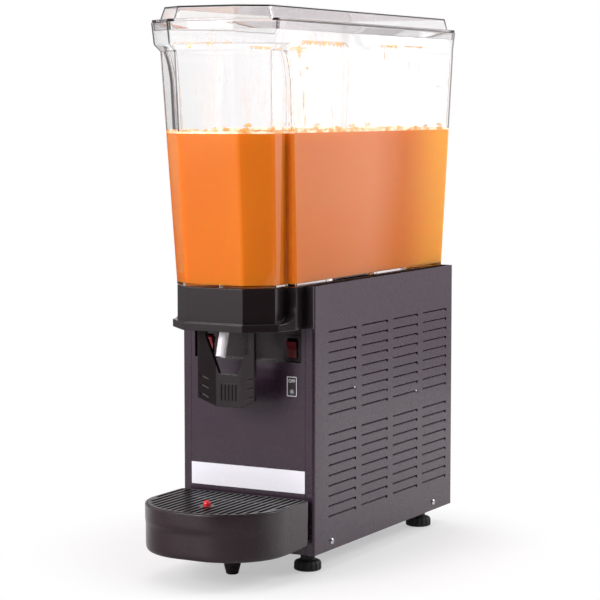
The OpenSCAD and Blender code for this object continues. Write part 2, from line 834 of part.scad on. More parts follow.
module rear_panel_screws() {
    color("silver") from_front() rear_screw_places() {
        rod_y([0, -screw_grip, 0], screw_r, screw_grip);
        rod_y([0, 0, 0], screw_head_r, screw_head_h);
    }
}

// Gland where a cord would enter, clamped on both sides of the rear panel
module cord_gland() {
    color("#191818") from_front() translate([gland_x, 0, gland_z]) difference() {
        union() {
            rod_y([0, body_d, 0], gland_r, gland_len);
            rod_y([0, body_d - panel_t, 0], gland_r - 3, panel_t);
            rod_y([0, body_d - panel_t - 3, 0], gland_r, 3);
        }
        rod_y([0, body_d - panel_t - 4, 0], gland_bore, gland_len + panel_t + 5);
    }
}

module thermostat() {
    color("gainsboro") from_front() difference() {
        block([knob_x - thermo_w / 2, body_d - panel_t - thermo_d, knob_z - thermo_h / 2],
            [knob_x + thermo_w / 2, body_d - panel_t, knob_z + thermo_h / 2]);
        rod_y([knob_x, body_d - panel_t - 16, knob_z], fan_shaft_r + run, 17);
    }
}

module thermostat_knob() {
    color("#191818") from_front() translate([knob_x, body_d, knob_z]) {
        rod_y([0, -panel_t - 15, 0], fan_shaft_r, panel_t + 16);
        rod_y([0, 0.4, 0], knob_r, 3);
        rod_y([0, 0.4, 0], knob_r - 4, knob_h);
        block([-2, 0.4, 0], [2, knob_h + 1, knob_r - 3]);
    }
}

// Deck across the top of the cabinet, with the plinth that the bowl stands on
module top_deck() {
    ring = inset(foot_plan, plinth_in);
    color("#232022") from_front() difference() {
        union() {
            translate([0, 0, deck_z]) linear_extrude(deck_t) polygon(shell_plan(0));
            block([-inner_half, body_d - panel_t - fit - 2, deck_z - 16],
                [inner_half, body_d - panel_t - fit, deck_z + 1]);
            intersection() {
                translate([0, 0, deck_top - eps]) linear_extrude(bowl_seam - fit + eps) difference() {
                    polygon(plan_points(ring));
                    polygon(plan_points(inset(ring, plinth_w)));
                }
                block([-half_w, panel_t + fit, deck_top - 1], [half_w, body_d, bowl_z]);
            }
        }
        translate([0, evap_y, deck_z - 1]) cylinder(r = deck_hole, h = deck_t + 2);
        rear_screw_places() rod_y([0, -20, 0], screw_r + fit, 20);
    }
}

// Outline of the collar's foot flange, which runs straight from the nose's corner to the shoulder
lip = inset(collar_plan, -lip_out);
shoulder_x = collar_plan[5];
shoulder_y = collar_plan[4];
lip_points = [[-lip[1], lip[0]], [lip[1], lip[0]], [lip[3], lip[2]], [shoulder_x, shoulder_y],
    [shoulder_x, 0], [-shoulder_x, 0], [-shoulder_x, shoulder_y], [-lip[3], lip[2]]];

// Hollow sweep between the flange's top and the shoulder's front face, on both sides of the nose
module collar_sweep() {
    flange_top = collar_z + lip_h;
    intersection() {
        translate([-half_w, 0, 0]) rotate([90, 0, 90]) linear_extrude(body_w) difference() {
            translate([shoulder_y - sweep_r, flange_top - 1]) square([sweep_r + 1, sweep_r + 1]);
            translate([shoulder_y - sweep_r, flange_top + sweep_r]) circle(r = sweep_r);
        }
        translate([0, 0, collar_z]) linear_extrude(collar_drop) polygon(lip_points);
    }
}

// Skirt under the bowl's nose, open below, with a foot flange
module collar() {
    inner = inset(collar_plan, collar_wall);
    color("#232022") from_front() difference() {
        union() {
            translate([0, 0, collar_z]) linear_extrude(collar_high - collar_z)
                polygon(nose_points(collar_plan, 0));
            translate([0, 0, collar_z]) linear_extrude(lip_h) polygon(lip_points);
            collar_sweep();
            mirrored_x() block([shoulder_x - 1, -wing_t, collar_z], [half_w, 0, collar_high]);
        }
        translate([0, 0, collar_z - 1]) linear_extrude(collar_plate_z - collar_z + 1)
            polygon(nose_points(inner, 1));
        translate([0, -tube_reach, collar_plate_z - 1]) cylinder(r = tube_r + fit, h = collar_top + 2);
        translate([0, -tube_reach, collar_high - tube_flange_t])
            cylinder(r = tube_flange_r + fit, h = tube_flange_t + 1);
    }
}

module bracket_screw_places() {
    for (x = [-24, 24]) translate([x, 0, bracket_high - 10]) children();
}

// Carries the pivot pin in two ears and the anvil in front of the tube
module tap_bracket() {
    ear_low = bar_z - 3;
    color("#2b2729") from_front() difference() {
        union() {
            block([-ear_out, -bracket_t, bracket_low], [ear_out, 0, bracket_high]);
            mirrored_x() {
                block([ear_in, pivot_y - hub_r, bracket_low], [ear_out, 0, bracket_high]);
                block([ear_in, anvil_y - anvil_t, ear_low], [ear_out, 0, ear_low + anvil_h]);
            }
            block([-ear_out, anvil_y - anvil_t, ear_low], [ear_out, anvil_y, ear_low + anvil_h]);
        }
        rod_x([-ear_out - 1, pivot_y, pivot_z], pin_r + run, 2 * ear_out + 2);
        bracket_screw_places() rod_y([0, -bracket_t - 1, 0], screw_r + fit, bracket_t + 2);
    }
}

module tap_bracket_screws() {
    color("silver") from_front() bracket_screw_places() {
        rod_y([0, -bracket_t - screw_head_h, 0], screw_head_r, screw_head_h);
        rod_y([0, -bracket_t, 0], screw_r, bracket_t + panel_t + 4);
    }
}

module tap_pin() {
    color("silver") from_front() rod_x([-ear_out - 0.5, pivot_y, pivot_z], pin_r, 2 * ear_out + 1);
}

// Yoke that a cup pushes back: middle face, swept wings and two arms up to the pivot
module tap_lever() {
    wing = lever_half - lever_face;
    wing_rise = 0.45 * wing;
    arm_low = face_top + 44;
    high = pivot_z + 2;
    groove_step = 11;
    rib_step = 5;
    color("#232022") from_front() difference() {
        union() {
            intersection() {
                translate([0, 0, lever_low - 1]) linear_extrude(high - lever_low + 2) polygon([
                    [-lever_half, face_y - lever_sweep], [-lever_face, face_y], [lever_face, face_y],
                    [lever_half, face_y - lever_sweep], [lever_half, face_y - lever_sweep + lever_t],
                    [lever_face, face_y + lever_t], [-lever_face, face_y + lever_t],
                    [-lever_half, face_y - lever_sweep + lever_t]]);
                rotate([90, 0, 0]) translate([0, 0, -body_d / 2]) linear_extrude(body_d) polygon([
                    [-lever_face, lever_low], [lever_face, lever_low], [lever_half, lever_low + wing_rise],
                    [lever_half, high], [arm_in, high], [arm_in, arm_low], [lever_face - 4, face_top],
                    [4 - lever_face, face_top], [-arm_in, arm_low], [-arm_in, high], [-lever_half, high],
                    [-lever_half, lever_low + wing_rise]]);
            }
            mirrored_x() {
                rod_x([arm_in, pivot_y, pivot_z], hub_r, arm_w);
                block([arm_in, face_y - lever_sweep + lever_t - 1, pivot_z - hub_r],
                    [lever_half, pivot_y, pivot_z + 2]);
            }
            rod_x([-arm_in - 2, bar_y, bar_z], bar_r, 2 * arm_in + 4);
            mirrored_x() block([arm_in, face_y - lever_sweep + 2, bar_z - bar_r],
                [lever_half, bar_y, bar_z + bar_r]);
            for (i = [-2 : 2]) block([i * rib_step - 0.8, face_y - 1, lever_low + 8],
                [i * rib_step + 0.8, face_y + 1, face_top - 12]);
        }
        rod_x([-lever_half - 1, pivot_y, pivot_z], pin_r + run, 2 * lever_half + 2);
        mirrored_x() for (i = [0 : 2]) translate([lever_face + 3, 0, lever_low + 8 + i * groove_step])
            rotate([0, -24, 0]) block([0, face_y - 20, -0.7],
                [wing - 4, face_y - lever_sweep / 2 + 0.6, 0.7]);
    }
}

module lever_spring() {
    echo(str("lever spring gap ", helix_gap(spring_r, spring_pitch, spring_wire), " mm"));
    color("silver") from_front() translate([spring_x, pivot_y, pivot_z]) rotate([0, 90, 0])
        helix(spring_r, spring_wire, spring_pitch, spring_turns);
}

// Straight from the bowl's outlet, then leaning forward to its free end
module pinch_tube_solid(r, over) {
    translate([0, -tube_reach, bend_z]) cylinder(r = r, h = collar_high - bend_z + over);
    translate([0, -tube_reach, bend_z]) sphere(r = r + 0.1);
    translate([0, -tube_reach, bend_z]) rotate([180 - tube_lean, 0, 0]) cylinder(r = r, h = tube_end + over);
}

module pinch_tube() {
    color("white") from_front() difference() {
        union() {
            pinch_tube_solid(tube_r, 0);
            translate([0, -tube_reach, collar_high - tube_flange_t])
                cylinder(r = tube_flange_r, h = tube_flange_t);
        }
        pinch_tube_solid(tube_bore, 1);
    }
}

module bowl() {
    floor_z = bowl_z + bowl_floor;
    color([0.9, 0.95, 1, 0.35]) from_front() difference() {
        union() {
            difference() {
                loft([foot_plan, neck_plan, rim_low_plan, rim_top_plan],
                    [bowl_z, neck_z, rim_low_z, rim_top_z]);
                loft([inset(bowl_plan(bowl_floor), bowl_wall), inset(neck_plan, bowl_wall),
                    inset(rim_low_plan, bowl_wall), inset(rim_top_plan, bowl_wall),
                    inset(rim_top_plan, bowl_wall)],
                    [floor_z, neck_z, rim_low_z, rim_top_z, rim_top_z + 1]);
            }
            translate([0, -tube_reach, bowl_z - nipple_len]) cylinder(r = nipple_r, h = nipple_len + 1);
        }
        translate([0, evap_y, bowl_z - 1]) cylinder(r = gasket_r + 2 * fit, h = bowl_floor + 2);
        translate([0, -tube_reach, bowl_z - nipple_len - 1]) cylinder(r = nipple_bore, h = nipple_len + 10);
    }
}

module bowl_gasket() {
    color("#3a3a3a") from_front() translate([0, evap_y, deck_top + 2]) rotate_extrude()
        polygon([[evap_r + fit / 2, 0], [gasket_r + 2, 0], [gasket_r + 2, bowl_seam - 2 - fit],
            [gasket_r, bowl_seam - 2 - fit], [gasket_r, bowl_seam + bowl_floor],
            [evap_r + fit / 2, bowl_seam + bowl_floor]]);
}

// Drawn-in cover with a flat edge on the rim and a skirt inside it
module lid() {
    low = rim_top_z + fit;
    edge = inset(rim_top_plan, 0.8);
    under = low + lid_edge - lid_wall;
    ledge = inset(rim_top_plan, lid_ledge);
    crown = upright(inset(rim_top_plan, lid_in), ledge);
    mouth = inset(rim_top_plan, bowl_wall + 0.8);
    skirt = inset(mouth, rim_lean * lid_skirt / rim_h + 0.2);
    color([0.9, 0.95, 1, 0.35]) from_front() difference() {
        loft([skirt, mouth, edge, edge, ledge, crown],
            [low - lid_skirt, low, low, low + lid_edge, low + lid_edge, lid_top_z]);
        loft([for (p = [skirt, inset(mouth, 0.4), ledge, crown]) inset(p, lid_wall)],
            [low - lid_skirt - 1, under, under, lid_top_z - lid_wall]);
    }
}

// The drink in the bowl, hollow below where the evaporator and impeller stand
module juice() {
    low = bowl_floor + fit;
    gap = bowl_wall + fit;
    color("#ee822c") from_front() difference() {
        intersection() {
            loft([inset(bowl_plan(low), gap), inset(neck_plan, gap)], [bowl_z + low, neck_z]);
            block([-body_w, -body_d, bowl_z], [body_w, 2 * body_d, bowl_z + juice_h]);
        }
        translate([0, evap_y, bowl_z]) cylinder(r = void_r, h = void_z - bowl_z);
    }
}

module evaporator() {
    dome = 8;
    color("gainsboro") from_front() translate([0, evap_y, 0]) rotate_extrude() polygon([
        [deck_hole, deck_top], [evap_flange, deck_top], [evap_flange, deck_top + 2], [evap_r, deck_top + 2],
        [evap_r, evap_top - dome], [evap_r - dome, evap_top], [post_r, evap_top], [post_r, evap_top + post_h],
        [0, evap_top + post_h], [0, evap_top - evap_wall],
        [evap_r - dome - evap_wall / 2, evap_top - evap_wall],
        [evap_r - evap_wall, evap_top - dome - evap_wall / 2]]);
}

// Rings brazed between two upright headers
module evaporator_coil() {
    color("peru") from_front() translate([0, evap_y, 0]) {
        for (i = [0 : coil_rings - 1]) translate([0, 0, coil_z + i * coil_pitch]) rotate_extrude()
            translate([coil_r, 0]) circle(r = coil_wire);
        mirrored_x() translate([coil_r, 0, coil_low])
            cylinder(r = pipe_r, h = coil_z + coil_rings * coil_pitch - coil_low);
    }
}

module impeller() {
    color("white") from_front() translate([0, evap_y, evap_top + fit]) difference() {
        union() {
            cylinder(r = 13, h = impeller_h);
            for (a = [0 : 90 : 270]) rotate([0, 0, a]) block([8, -1.5, 0], [impeller_r, 1.5, impeller_h - 6]);
            cylinder(r = impeller_r, h = 2);
        }
        translate([0, 0, -1]) cylinder(r = post_r + run, h = impeller_h + 2);
    }
}

// Magnet disc under the evaporator's crown, on the motor's shaft
module drive_rotor() {
    shaft_low = stir_plate_z - stir_h + 6;
    color("dimgray") from_front() translate([0, evap_y, 0]) {
        translate([0, 0, rotor_z]) cylinder(r = rotor_r, h = rotor_t);
        translate([0, 0, shaft_low]) cylinder(r = shaft_r, h = rotor_z - shaft_low + 1);
    }
}

module agitator_motor() {
    color("silver") from_front() translate([0, evap_y, stir_plate_z - stir_h]) difference() {
        cylinder(r = stir_r, h = stir_h);
        translate([0, 0, 5]) cylinder(r = shaft_r + run, h = stir_h);
    }
}

// Strap that hangs the agitator motor under the deck
module motor_bracket() {
    color("dimgray") from_front() translate([0, evap_y, 0]) difference() {
        union() {
            block([-stir_plate_half, -stir_plate_d / 2, stir_plate_z],
                [stir_plate_half, stir_plate_d / 2, stir_plate_z + stir_plate_t]);
            mirrored_x() block([stir_plate_half - stir_plate_t, -stir_plate_d / 2, stir_plate_z],
                [stir_plate_half, stir_plate_d / 2, deck_z]);
        }
        translate([0, 0, stir_plate_z - 1]) cylinder(r = shaft_r + 2, h = stir_plate_t + 2);
    }
}

module comp_places() {
    for (x = [comp_x - comp_ear, comp_x + comp_ear]) for (y = [comp_y - comp_ear, comp_y + comp_ear])
        translate([x, y, 0]) children();
}

module compressor() {
    round_r = 14;
    color("#1d1c1d") from_front() difference() {
        union() {
            translate([comp_x, comp_y, comp_z]) rotate_extrude() polygon([[0, 0], [comp_r, 0],
                [comp_r, comp_h - round_r], [comp_r - round_r, comp_h], [0, comp_h]]);
            block([comp_x - comp_foot_half, comp_y - comp_foot_half, comp_z],
                [comp_x + comp_foot_half, comp_y + comp_foot_half, comp_z + comp_foot_t]);
            rod_x([comp_x + comp_r - 2, comp_y, discharge_z], stub_r, stub_len + 2);
            translate([suction_x, comp_y, comp_z + comp_h - round_r])
                cylinder(r = stub_r, h = suction_z - comp_z - comp_h + round_r);
        }
        comp_places() translate([0, 0, comp_z - 1]) cylinder(r = screw_r + fit, h = comp_foot_t + 2);
    }
}

module compressor_grommets() {
    color("#1b1a1b") from_front() comp_places() translate([0, 0, pan_top]) difference() {
        cylinder(r = 7, h = grommet_h);
        translate([0, 0, -1]) cylinder(r = screw_r + fit, h = grommet_h + 2);
    }
}

module compressor_bolts() {
    seat = comp_z + comp_foot_t;
    color("silver") from_front() comp_places() {
        translate([0, 0, z_bot]) cylinder(r = screw_r, h = seat - z_bot);
        translate([0, 0, seat]) cylinder(r = screw_head_r, h = screw_head_h + 1);
    }
}

// Finned block on two end plates, with tube rows and an inlet and outlet stub
module condenser() {
    plate = 1.5;
    fin_t = 0.8;
    rows = 4;
    span = 2 * (cond_half - plate);
    color("silver") from_front() {
        mirrored_x() block([cond_half - plate, cond_y, pan_top],
            [cond_half, cond_y + cond_d, pan_top + cond_h]);
        for (i = [1 : cond_fins]) {
            x = -cond_half + plate + span * i / (cond_fins + 1);
            block([x - fin_t / 2, cond_y + 2, pan_top + 8],
                [x + fin_t / 2, cond_y + cond_d - 2, pan_top + cond_h - 2]);
        }
        for (k = [0 : rows - 1]) {
            z = outlet_z + (inlet_z - outlet_z) * k / (rows - 1);
            low = k == 0 ? -cond_half - stub_len : -cond_half + plate - eps;
            high = k == rows - 1 ? cond_half + stub_len : cond_half - plate + eps;
            rod_x([low, stub_y, z], stub_r, high - low);
        }
    }
}

// Plate with the fan's opening, and a ring on four rods that holds the motor
module fan_shroud() {
    rods = motor_ring_r - 4;
    ring_y = fan_motor_y + 10;
    plate_y = cond_y - fit - shroud_d;
    color("dimgray") from_front() {
        difference() {
            block([-cond_half, plate_y, pan_top], [cond_half, cond_y - fit, pan_top + cond_h]);
            block([shroud_t - cond_half, plate_y + shroud_t, pan_top + shroud_t],
                [cond_half - shroud_t, cond_y, pan_top + cond_h - shroud_t]);
            rod_y([0, plate_y - 1, fan_z], fan_r + 4, shroud_t + 2);
        }
        difference() {
            union() {
                rod_y([0, ring_y, fan_z], motor_ring_r, motor_ring_t);
                for (a = [45 : 90 : 315]) rotate_about_fan(a)
                    block([rods, ring_y, -2], [fan_r + 10, ring_y + motor_ring_t, 2]);
            }
            rod_y([0, ring_y - 1, fan_z], fan_motor_r + fit, motor_ring_t + 2);
        }
        for (a = [45 : 90 : 315]) rotate_about_fan(a)
            block([fan_r + 6, ring_y, -2], [fan_r + 10, plate_y + eps, 2]);
    }
}

module rotate_about_fan(a) {
    translate([0, 0, fan_z]) rotate([0, a, 0]) children();
}

module fan_motor() {
    color("#3a3a3a") from_front() difference() {
        rod_y([0, fan_motor_y, fan_z], fan_motor_r, fan_motor_len);
        rod_y([0, fan_motor_y + 6, fan_z], fan_shaft_r + run, fan_motor_len);
    }
}

module fan() {
    blades = 5;
    depth = shroud_d - 4;
    color("silver") from_front() {
        rod_y([0, fan_motor_y + 8, fan_z], fan_shaft_r, fan_y - fan_motor_y - 8);
        rod_y([0, fan_y - depth / 2, fan_z], fan_hub_r, depth);
        for (i = [0 : blades - 1]) translate([0, fan_y, fan_z]) rotate([0, i * 360 / blades, 0])
            rotate([0, 0, 0]) rotate([20, 0, 0]) translate([0, 0, -12])
                block([fan_hub_r - 4, -0.8, 0], [fan_r - 4, 0.8, 24]);
    }
}

module filter_drier() {
    color("peru") from_front() translate([-drier_x, drier_y, drier_low]) {
        cylinder(r1 = pipe_r + 1, r2 = drier_r, h = 8);
        translate([0, 0, 8]) cylinder(r = drier_r, h = drier_len - 16);
        translate([0, 0, drier_len - 8]) cylinder(r1 = drier_r, r2 = pipe_r + 1, h = 8);
    }
}

// Discharge, liquid, expansion and suction lines, each meeting its ports face to face
module refrigerant_pipes() {
    color("peru") from_front() {
        pipe([[comp_x + comp_r + stub_len, comp_y, discharge_z], [pipe_x, comp_y, discharge_z],
            [pipe_x, stub_y, discharge_z], [pipe_x, stub_y, inlet_z],
            [cond_half + stub_len, stub_y, inlet_z]], pipe_r);
        pipe([[-cond_half - stub_len, stub_y, outlet_z], [-drier_x, stub_y, outlet_z],
            [-drier_x, drier_y, outlet_z], [-drier_x, drier_y, drier_low]], pipe_r);
        pipe([[-drier_x, drier_y, drier_low + drier_len], [-drier_x, drier_y, line_z],
            [-coil_r, drier_y, line_z],
            [-coil_r, evap_y, line_z], [-coil_r, evap_y, coil_low]], pipe_r);
        pipe([[coil_r, evap_y, coil_low], [coil_r, evap_y, line_z], [coil_r, comp_y, line_z],
            [suction_x, comp_y, line_z], [suction_x, comp_y, suction_z]], pipe_r);
    }
}

module terminal_block() {
    low = [inner_half - 58, comp_y + comp_foot_half + 14, pan_top];
    color("ivory") from_front() difference() {
        block(low, low + [30, 46, 24]);
        for (i = [0 : 3]) translate(low + [15, 8 + 10 * i, 14]) cylinder(r = 3, h = 20);
    }
}

module drip_tray() {
    color("#2b2729") from_front() difference() {
        union() {
            translate([0, 0, band_z]) linear_extrude(tray_band) polygon(tray_plan(0, 0));
            translate([0, 0, tray_low]) linear_extrude(band_z - tray_low + 1)
                polygon(tray_plan(tray_step, 0));
            translate([0, -leg_reach, leg_lift])
                cylinder(r1 = leg_foot_r, r2 = leg_top_r, h = tray_low - leg_lift + eps);
        }
        translate([0, 0, grid_z - fit]) linear_extrude(tray_band) polygon(tray_plan(tray_wall, tray_wall));
        difference() {
            translate([0, 0, tray_floor_z]) linear_extrude(tray_top) polygon(tray_plan(shelf_in, tray_wall));
            translate([0, -float_reach, tray_floor_z - 1]) difference() {
                cylinder(r = float_r + float_gap + guide_t, h = guide_h + 1);
                translate([0, 0, -1]) cylinder(r = float_r + float_gap, h = guide_h + 3);
            }
        }
    }
}

module tray_tongues() {
    high = tray_low - fit;
    color("silver") from_front() mirrored_x() {
        block([tongue_x - tongue_w / 2, -tongue_len, high - tongue_t], [tongue_x + tongue_w / 2, 0, high]);
        block([tongue_x - tongue_w / 2, -tongue_t, z_bot + 1], [tongue_x + tongue_w / 2, 0, high]);
    }
}

// Slatted grid: slots run front to back, with a ring round the float's cap
module tray_grid() {
    edge = tray_wall + 0.4;
    inner = tray_arc - edge - grid_edge;
    slots = floor((tray_half - edge - grid_edge - grid_slot / 2) / grid_pitch + 0.5);
    rear = tray_rear - edge - grid_edge;
    color("#2b2729") from_front() difference() {
        union() {
            difference() {
                translate([0, 0, grid_z]) linear_extrude(grid_t) polygon(tray_plan(edge, edge));
                for (i = [-slots : slots - 1]) {
                    x = (i + 0.5) * grid_pitch;
                    outer = max(abs(x) + grid_slot / 2 + tray_arc - tray_half, 0);
                    front = tray_arc - tray_reach - sqrt(max(pow(inner, 2) - pow(outer, 2), 0));
                    block([x - grid_slot / 2, front, grid_z - 1],
                        [x + grid_slot / 2, rear, grid_z + grid_t + 1]);
                }
            }
            block([edge + grid_edge - tray_half, -float_reach / 2 - 3, grid_z],
                [tray_half - edge - grid_edge, -float_reach / 2 + 3, grid_z + grid_t - 1]);
            translate([0, -float_reach, grid_z]) cylinder(r = float_cap + 5, h = grid_t);
        }
        translate([0, -float_reach, grid_z - 1]) cylinder(r = float_cap + float_gap, h = grid_t + 2);
    }
}

module tray_float() {
    color("#d8262e") from_front() translate([0, -float_reach, 0]) {
        translate([0, 0, tray_floor_z + fit]) cylinder(r = float_r, h = float_body_h);
        translate([0, 0, tray_floor_z + fit]) cylinder(r = float_stem_r, h = grid_z - tray_floor_z);
        translate([0, 0, grid_z - 8]) cylinder(r = float_cap, h = float_top_z - float_dome - grid_z + 8);
        translate([0, 0, float_top_z - float_dome])
            cylinder(r1 = float_cap, r2 = float_cap - float_dome, h = float_dome);
    }
}

base_pan();
feet();
foot_screws();
left_side_panel();
right_side_panel();
side_panel_screws();
front_panel();
switch_recess();
name_plate();
switch_label();
left_switch();
left_rocker();
right_switch();
right_rocker();
rear_panel();
rear_panel_screws();
cord_gland();
thermostat();
thermostat_knob();
top_deck();
collar();
tap_bracket();
tap_bracket_screws();
tap_pin();
tap_lever();
lever_spring();
pinch_tube();
bowl();
bowl_gasket();
lid();
juice();
evaporator();
evaporator_coil();
impeller();
drive_rotor();
agitator_motor();
motor_bracket();
compressor();
compressor_grommets();
compressor_bolts();
condenser();
fan_shroud();
fan_motor();
fan();
filter_drier();
refrigerant_pipes();
terminal_block();
drip_tray();
tray_tongues();
tray_grid();
tray_float();
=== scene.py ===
"""Looks of a counter-top juice dispenser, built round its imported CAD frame.

Sizes are millimetres: x across, y back from the front panel's face, z up from the counter.
The stage at the end is in metres, in the row frame.
"""
import math
from collections import namedtuple

import bmesh
import bpy
from mathutils import Matrix, Vector, noise


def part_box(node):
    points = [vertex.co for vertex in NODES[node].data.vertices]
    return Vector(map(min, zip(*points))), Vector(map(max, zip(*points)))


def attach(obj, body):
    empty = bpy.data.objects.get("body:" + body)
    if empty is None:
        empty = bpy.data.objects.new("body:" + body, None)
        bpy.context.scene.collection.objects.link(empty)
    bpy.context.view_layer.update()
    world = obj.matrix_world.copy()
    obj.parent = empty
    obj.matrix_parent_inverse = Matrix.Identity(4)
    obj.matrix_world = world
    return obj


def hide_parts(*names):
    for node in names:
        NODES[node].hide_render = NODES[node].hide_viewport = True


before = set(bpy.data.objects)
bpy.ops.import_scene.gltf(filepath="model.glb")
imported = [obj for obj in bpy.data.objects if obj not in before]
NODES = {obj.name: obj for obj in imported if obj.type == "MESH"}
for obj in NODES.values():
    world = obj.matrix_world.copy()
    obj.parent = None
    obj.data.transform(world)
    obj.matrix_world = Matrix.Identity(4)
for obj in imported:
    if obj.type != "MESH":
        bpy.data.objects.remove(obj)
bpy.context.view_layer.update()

MM = 0.001
TURN = 2 * math.pi
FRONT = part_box("front_panel")[0].y


def at(x, y, z):
    """A point of the machine in the row frame, in metres."""
    return Vector((x * MM, FRONT + y * MM, z * MM))


def wobble(x, y, seed, length=1):
    """Smooth noise from about -1 to 1 that changes over a length."""
    return noise.noise(Vector((x, y, seed)) / length)


# Bowl sizes, as in the solids
FOOT_Z = 352.5
BOWL_H = 279.5
BOWL_WALL = 3
BOWL_FLOOR = 4
FLARE_H = 8
FLARE_RUN = 10
RIM_H = 26
RIM_LEAN = 2.8
JUICE_H = 184
EVAPORATOR_Y = 185
OUTLET_Y = -52.9
NECK_Z = FOOT_Z + BOWL_H
RIM_LOW_Z = NECK_Z + FLARE_H
RIM_TOP_Z = RIM_LOW_Z + RIM_H
JUICE_Z = FOOT_Z + JUICE_H

# Outlines of the bowl. Half widths: flat (the nose's front), nose and main. Places along y: front, facet (its
# rear end), shoulder and rear. The cut is the rear corner's, and the run slopes the step from nose to main.
Plan = namedtuple("Plan", "front flat facet nose shoulder main rear cut run")
FOOT_PLAN = Plan(-79, 39.3, -52, 68.5, -25, 81.4, 391, 6, 0)
BOWL_LEAN = Plan(-20, 1.5, -21, 9.4, -16.6, 3.7, 26, 0, 0)
TAN_22 = math.tan(math.radians(22.5))
LEAST_CUT = 0.5
ARCH_FROM = 232.5
ARCH_SIDE = 5


def inset(plan, t):
    """An outline drawn in by a distance."""
    return Plan(plan.front + t, plan.flat - t * TAN_22, plan.facet + t * TAN_22, plan.nose - t,
                plan.shoulder + t, plan.main - t, plan.rear - t,
                max(plan.cut - t * (2 - math.sqrt(2)), LEAST_CUT), plan.run)


def flared(plan, run):
    """An outline whose nose is as wide as the rest, for the rim."""
    t = plan.main - plan.nose
    return plan._replace(front=plan.front - t, flat=plan.flat + t * TAN_22, facet=plan.facet - t * TAN_22,
                         nose=plan.main, run=run)


def bowl_plan(h):
    """The bowl's outline at a height over its foot."""
    return Plan(*(a + b * h / BOWL_H for a, b in zip(FOOT_PLAN, BOWL_LEAN)))


def arched_plan(h):
    """The outline at a height, with the niche beside the nose closing in an arch under the rim."""
    plan = bowl_plan(h)
    share = min(max((h - ARCH_FROM) / (BOWL_H + FLARE_H - ARCH_FROM), 0), 1)
    reach = plan.shoulder - plan.facet - ARCH_SIDE
    return plan._replace(shoulder=plan.shoulder - reach * (1 - math.sqrt(1 - share * share)))


RIM_LOW_PLAN = flared(bowl_plan(BOWL_H), FLARE_RUN)
RIM_TOP_PLAN = inset(RIM_LOW_PLAN, -RIM_LEAN)


def wall_plan(z):
    """The bowl's outline at a height over the counter."""
    if z < NECK_Z:
        return bowl_plan(z - FOOT_Z)
    return inset(RIM_LOW_PLAN, -RIM_LEAN * max(z - RIM_LOW_Z, 0) / RIM_H)


def plan_points(plan):
    """Corners of a bowl outline, counter-clockwise from the nose's left front corner."""
    right = [(plan.flat, plan.front), (plan.nose, plan.facet), (plan.nose, plan.shoulder - plan.run),
             (plan.main, plan.shoulder), (plan.main, plan.rear - plan.cut), (plan.main - plan.cut, plan.rear)]
    left = [(-x, y) for x, y in reversed(right)]
    return [left[-1]] + right + left[:-1]


def bend(before, corner, after, setback, steps, most=0.45):
    """A short curve round a corner, from a setback before it to one after, at most a share of each side."""
    ends = []
    for other in (before, after):
        share = min(setback / max(math.dist(other, corner), 1e-6), most)
        ends.append([c + (o - c) * share for c, o in zip(corner, other)])
    made = []
    for s in range(steps + 1):
        t = s / steps
        made.append([a * (1 - t) ** 2 + c * 2 * t * (1 - t) + b * t * t
                     for a, c, b in zip(ends[0], corner, ends[1])])
    return made


def rounded(points, setback, steps=4):
    """A closed outline with each corner turned on a short curve."""
    made = []
    for i, corner in enumerate(points):
        made += bend(points[i - 1], corner, points[(i + 1) % len(points)], setback, steps)
    return [Vector(p) for p in made]


def softened(rows, setbacks, steps, most=0.45):
    """Rows of numbers with each inner row turned on a short curve."""
    made = [rows[0]]
    for before, row, after, setback in zip(rows, rows[1:], rows[2:], setbacks):
        made += bend(before, row, after, setback, steps, most)
    return made + [rows[-1]]


def circle(x, y, radius, count):
    turns = [TURN * i / count for i in range(count)]
    return [(x + radius * math.cos(a), y + radius * math.sin(a)) for a in turns]


def resampled(points, spacing):
    """A closed outline with points about a spacing apart."""
    made = []
    for a, b in zip(points, points[1:] + points[:1]):
        count = max(1, round((b - a).length / spacing))
        made += [a.lerp(b, i / count) for i in range(count)]
    return made


# Meshes
class Sketch:
    """Collects rings of points and the faces between them, then makes one object."""

    def __init__(self):
        self.bm = bmesh.new()

    def loop(self, points):
        return [self.bm.verts.new(p) for p in points]

    def ring(self, outline, z):
        return self.loop([at(p[0], p[1], z) for p in outline])

    def skin(self, rings):
        for low, high in zip(rings, rings[1:]):
            for i in range(len(low)):
                j = (i + 1) % len(low)
                self.bm.faces.new((low[i], low[j], high[j], high[i]))

    def cap(self, *rings):
        """A flat face inside the first ring, with the other rings as holes in it."""
        edges = []
        for ring in rings:
            for a, b in zip(ring, ring[1:] + ring[:1]):
                edges.append(self.bm.edges.get((a, b)) or self.bm.edges.new((a, b)))
        bmesh.ops.triangle_fill(self.bm, edges=edges, use_beauty=True)

    def solid(self, rings):
        """A skin over the rings, closed at both ends."""
        self.skin(rings)
        self.cap(rings[0])
        self.cap(rings[-1])

    def finish(self, name, material, body, slot, sharp, replaces=()):
        bmesh.ops.recalc_face_normals(self.bm, faces=self.bm.faces[:])
        mesh = bpy.data.meshes.new(name)
        self.bm.to_mesh(mesh)
        self.bm.free()
        dressed(mesh, name, material, body, sharp, replaces)


def dressed(mesh, name, material, body, sharp, replaces=()):
    """Puts a mesh in the scene as a piece of the object, smooth but for edges over an angle in degrees."""
    mesh.shade_smooth()
    mesh.set_sharp_from_angle(angle=math.radians(sharp))
    mesh.materials.append(material)
    obj = bpy.data.objects.new(name, mesh)
    bpy.context.scene.collection.objects.link(obj)
    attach(obj, body)
    if replaces:
        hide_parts(*replaces)


